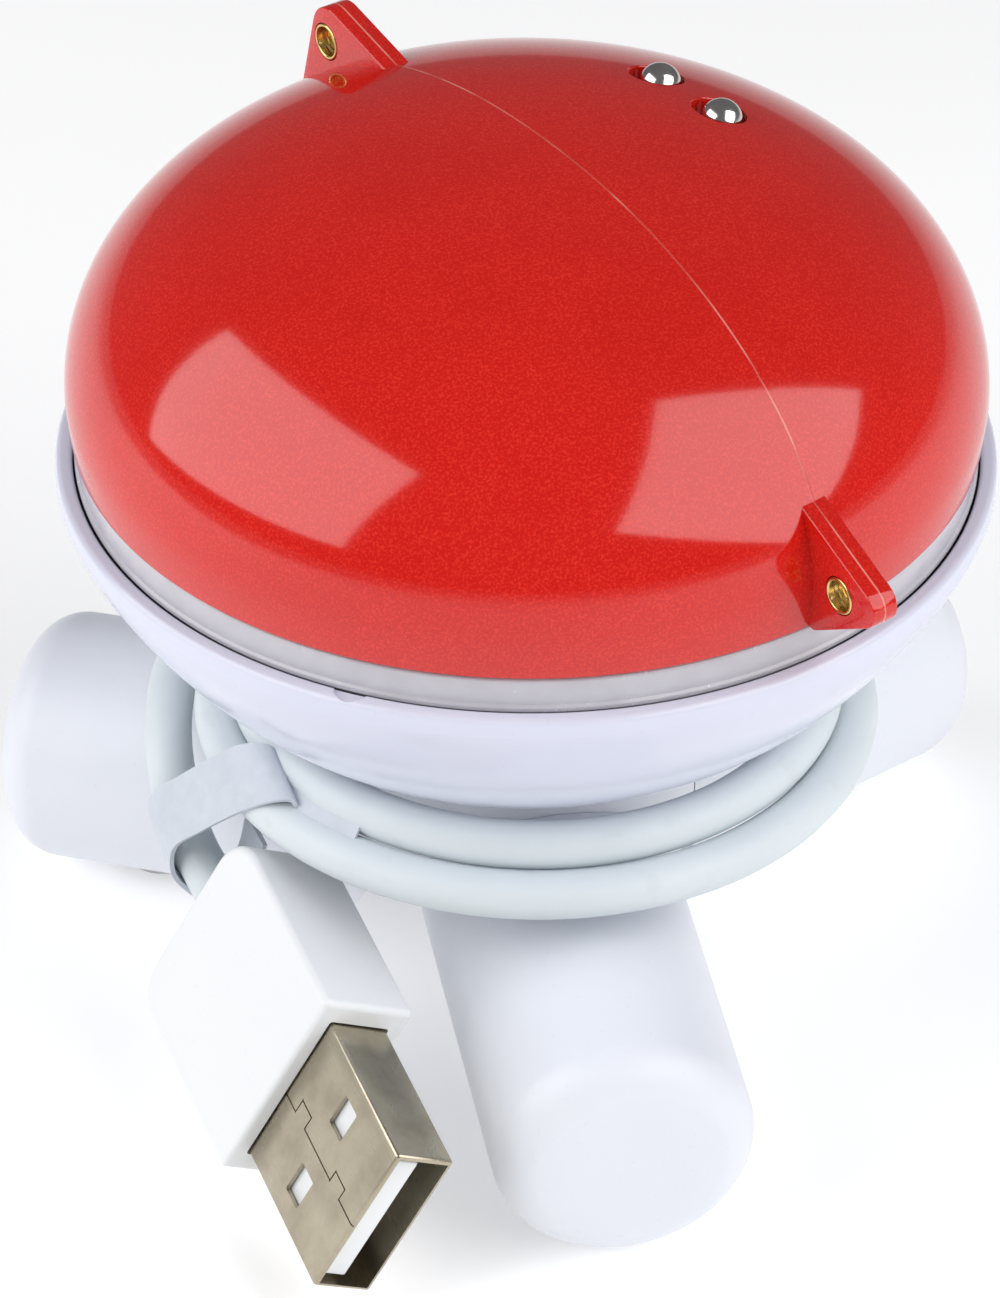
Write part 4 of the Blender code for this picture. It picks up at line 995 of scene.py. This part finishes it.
def plug():
    """The moulded grip, its metal shell and the tongue inside it."""
    place = plug_frame()
    wide, thick = MOULD_WIDE / 2, MOULD_THICK / 2
    outline = rounded([(-wide, 0, 0.5), (-wide, -MOULD_LONG, 3.0), (wide, -MOULD_LONG, 3.0),
                       (wide, 0, 0.5)], 10)
    mould = slab(outline, -thick, thick, 1.15, 6)
    mould = moved(mould, Matrix(((1, 0, 0, 0), (0, 0, 1, 0), (0, 1, 0, 0), (0, 0, 0, 1))))
    bmesh.ops.recalc_face_normals(mould, faces=mould.faces)
    seat_x, seat_y = SHELL_WIDE / 2 + SEAT_ROOM, SHELL_THICK / 2 + SEAT_ROOM
    seat = block((-seat_x, -seat_y, SEAT_DEPTH), (seat_x, seat_y, 2.0), 0.2, 2)
    boot = piece("plug_overmould_body", moved(carved(mould, [seat]), place), PAINT["plug"], "base",
                 ["plug_overmould"], 30)

    shell = block((-SHELL_WIDE / 2, -SHELL_THICK / 2, SHELL_ROOT),
                  (SHELL_WIDE / 2, SHELL_THICK / 2, SHELL_LONG), 0.28, 4)
    inside = (SHELL_WIDE / 2 - SHELL_WALL, SHELL_THICK / 2 - SHELL_WALL)
    cuts = [block((-inside[0], -inside[1], SHELL_ROOT + 1.0), (inside[0], inside[1], SHELL_LONG + 2))]
    for x in (-WINDOW_X, WINDOW_X):
        cuts.append(block((x - WINDOW_HALF, -4, WINDOW_FOOT), (x + WINDOW_HALF, 4, WINDOW_TOP), 0.12, 2))
    for (x0, z0), (x1, z1) in zip(JOINT, JOINT[1:]):
        low = (min(x0, x1) - JOINT_HALF, SHELL_THICK / 2 - JOINT_DEEP, min(z0, z1) - JOINT_HALF)
        high = (max(x0, x1) + JOINT_HALF, SHELL_THICK / 2 + 0.5, max(z0, z1) + JOINT_HALF)
        if abs(x1 - x0) < JOINT_STRAIGHT:
            middle = (x0 + x1) / 2
            low, high = (middle - JOINT_HALF, *low[1:]), (middle + JOINT_HALF, *high[1:])
        cuts.append(block(low, high))
    shape = carved(shell, cuts)
    metal = piece("plug_shell_metal", moved(shape, place), PAINT["nickel"], "base", ["plug_shell"],
                  30)

    face = inside[1] - 0.12
    bar = block((-TONGUE_HALF, face - TONGUE_THICK, -2.4), (TONGUE_HALF, face, SHELL_LONG - 0.45), 0.15, 3)
    slots = [block((x - CONTACT_HALF, face - 2.6, 0.8), (x + CONTACT_HALF, face - 1.7, SHELL_LONG - 1.4))
             for x in CONTACT_X]
    tongue = piece("plug_tongue_bar", moved(carved(bar, slots), place), PAINT["plug"], "base",
                   ["plug_tongue"], 30)
    return [boot, metal, tongue]


def ribbon(far, near, thick):
    """A thin band between two edge lines."""
    sheet = bmesh.new()
    edges = []
    for line in (far, near):
        chain = [sheet.verts.new(point) for point in line]
        edges += [sheet.edges.new(pair) for pair in zip(chain, chain[1:])]
    bmesh.ops.bridge_loops(sheet, edges=edges)
    bmesh.ops.recalc_face_normals(sheet, faces=sheet.faces)
    bmesh.ops.solidify(sheet, geom=sheet.faces[:], thickness=thick)
    bmesh.ops.recalc_face_normals(sheet, faces=sheet.faces)
    return sheet


def strap():
    """The tie over the winding and round the tail, and its loose end."""
    far, near = [smooth([Vector(p) for p in line], 6) for line in (STRAP_FAR, STRAP_NEAR)]
    loop = ribbon(far, near, STRAP_THICK)
    groove = Vector((UPPER[0] + OUTER[0], UPPER[1] + OUTER[1])) / 2
    slope = Vector((OUTER[0] - UPPER[0], OUTER[1] - UPPER[1])).normalized()
    middle = groove + Vector((-slope.y, slope.x)) * STRAP_END_LIFT
    edges = []
    for half in (-STRAP_END_WIDE / 2, STRAP_END_WIDE / 2):
        spot = middle + slope * half
        line = [Vector((*around(spot.x, turn), spot.y)) + COIL for turn in STRAP_END_TURNS]
        edges.append(smooth(line, 6))
    end = ribbon(*edges, STRAP_END_THICK)
    return piece("cable_strap_band", moved(joined(loop, end), TABLE), PAINT["strap"], "base",
                 ["cable_strap"], 60)


# ---- electronics ----
def repaint(node, finish):
    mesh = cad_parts[node].data
    mesh.materials.clear()
    mesh.materials.append(finish)


def inner_works():
    for node, finish in (("circuit_board", "board"), ("controller_chip", "black"),
                         ("switch_body", "black"), ("sounder", "black"), ("switch_stem", "lens"),
                         ("lamp_1", "lens"), ("lamp_2", "lens"), ("lamp_3", "lens")):
        repaint(node, PAINT[finish])


# ---- floor, lights and camera ----
def floor():
    finish = Finish("floor_finish", Roughness=0.65, Emission_Strength=FLOOR_GLOW)
    finish.shader.inputs["Emission Color"].default_value = (1.0, 1.0, 1.0, 1.0)
    finish.colour(finish.between(finish.noise(60.0, 2.0), (0.90, 0.90, 0.905), (0.88, 0.88, 0.885)))
    shape = bmesh.new()
    bmesh.ops.create_grid(shape, x_segments=1, y_segments=1, size=FLOOR_SIZE)
    mesh = bpy.data.meshes.new("floor")
    shape.to_mesh(mesh)
    shape.free()
    mesh.materials.append(finish.material)
    made = bpy.data.objects.new("floor", mesh)
    bpy.context.scene.collection.objects.link(made)


def softbox(name, centre, across, down, glow, mirrored):
    """A rectangular light facing the dome; its centre is in metres from the dome's middle."""
    centre, across, down = Vector(centre), Vector(across), Vector(down)
    light = bpy.data.lights.new(name, "AREA")
    light.shape = "RECTANGLE"
    light.size, light.size_y = across.length, down.length
    light.energy = glow * math.pi * light.size * light.size_y
    made = bpy.data.objects.new(name, light)
    out = across.cross(down).normalized()
    if out.dot(centre) < 0:
        out = -out
    right = across.normalized()
    turn = Matrix((right, out.cross(right), out)).transposed().to_4x4()
    middle = (AXIS + Vector((0, 0, EQUATOR_Z + AIM_RISE))) * MM
    made.matrix_world = Matrix.Translation(middle + centre) @ turn
    made.visible_glossy = mirrored
    bpy.context.scene.collection.objects.link(made)


def lighting():
    world = bpy.data.worlds.new("studio")
    world.use_nodes = True
    sky = world.node_tree.nodes["Background"]
    sky.inputs["Color"].default_value = (0.95, 0.97, 1.0, 1.0)
    sky.inputs["Strength"].default_value = WORLD_GLOW
    bpy.context.scene.world = world
    for light in LIGHTS:
        softbox(*light)


def camera():
    lens = bpy.data.cameras.new("camera")
    lens.lens, lens.sensor_width = CAMERA_LENS, CAMERA_SENSOR
    lens.clip_start, lens.clip_end = 0.01, 20.0
    made = bpy.data.objects.new("camera", lens)
    place, look = CAMERA_PLACE * MM, CAMERA_LOOK * MM
    gaze = (look - place).to_track_quat("-Z", "Y").to_matrix().to_4x4()
    made.matrix_world = Matrix.Translation(place) @ gaze @ spin_z(CAMERA_ROLL)
    bpy.context.scene.collection.objects.link(made)
    bpy.context.scene.camera = made


camera()
PAINT["nickel"] = plated("plug_shell_finish", (0.47, 0.42, 0.32), (0.36, 0.315, 0.235), 0.20,
                         (1.0, 1.0, 14.0), plug_frame().to_3x3(), 3.0)
pieces_on_lead = plug() + [strap(), gland()]
cable()
dome()
ear_inserts()
studs()
skirt()
carrier()
bowl()
return_springs()
hub()
legs()
screws()
inner_works()
floor()
lighting()
bpy.context.scene.view_settings.view_transform = "Standard"
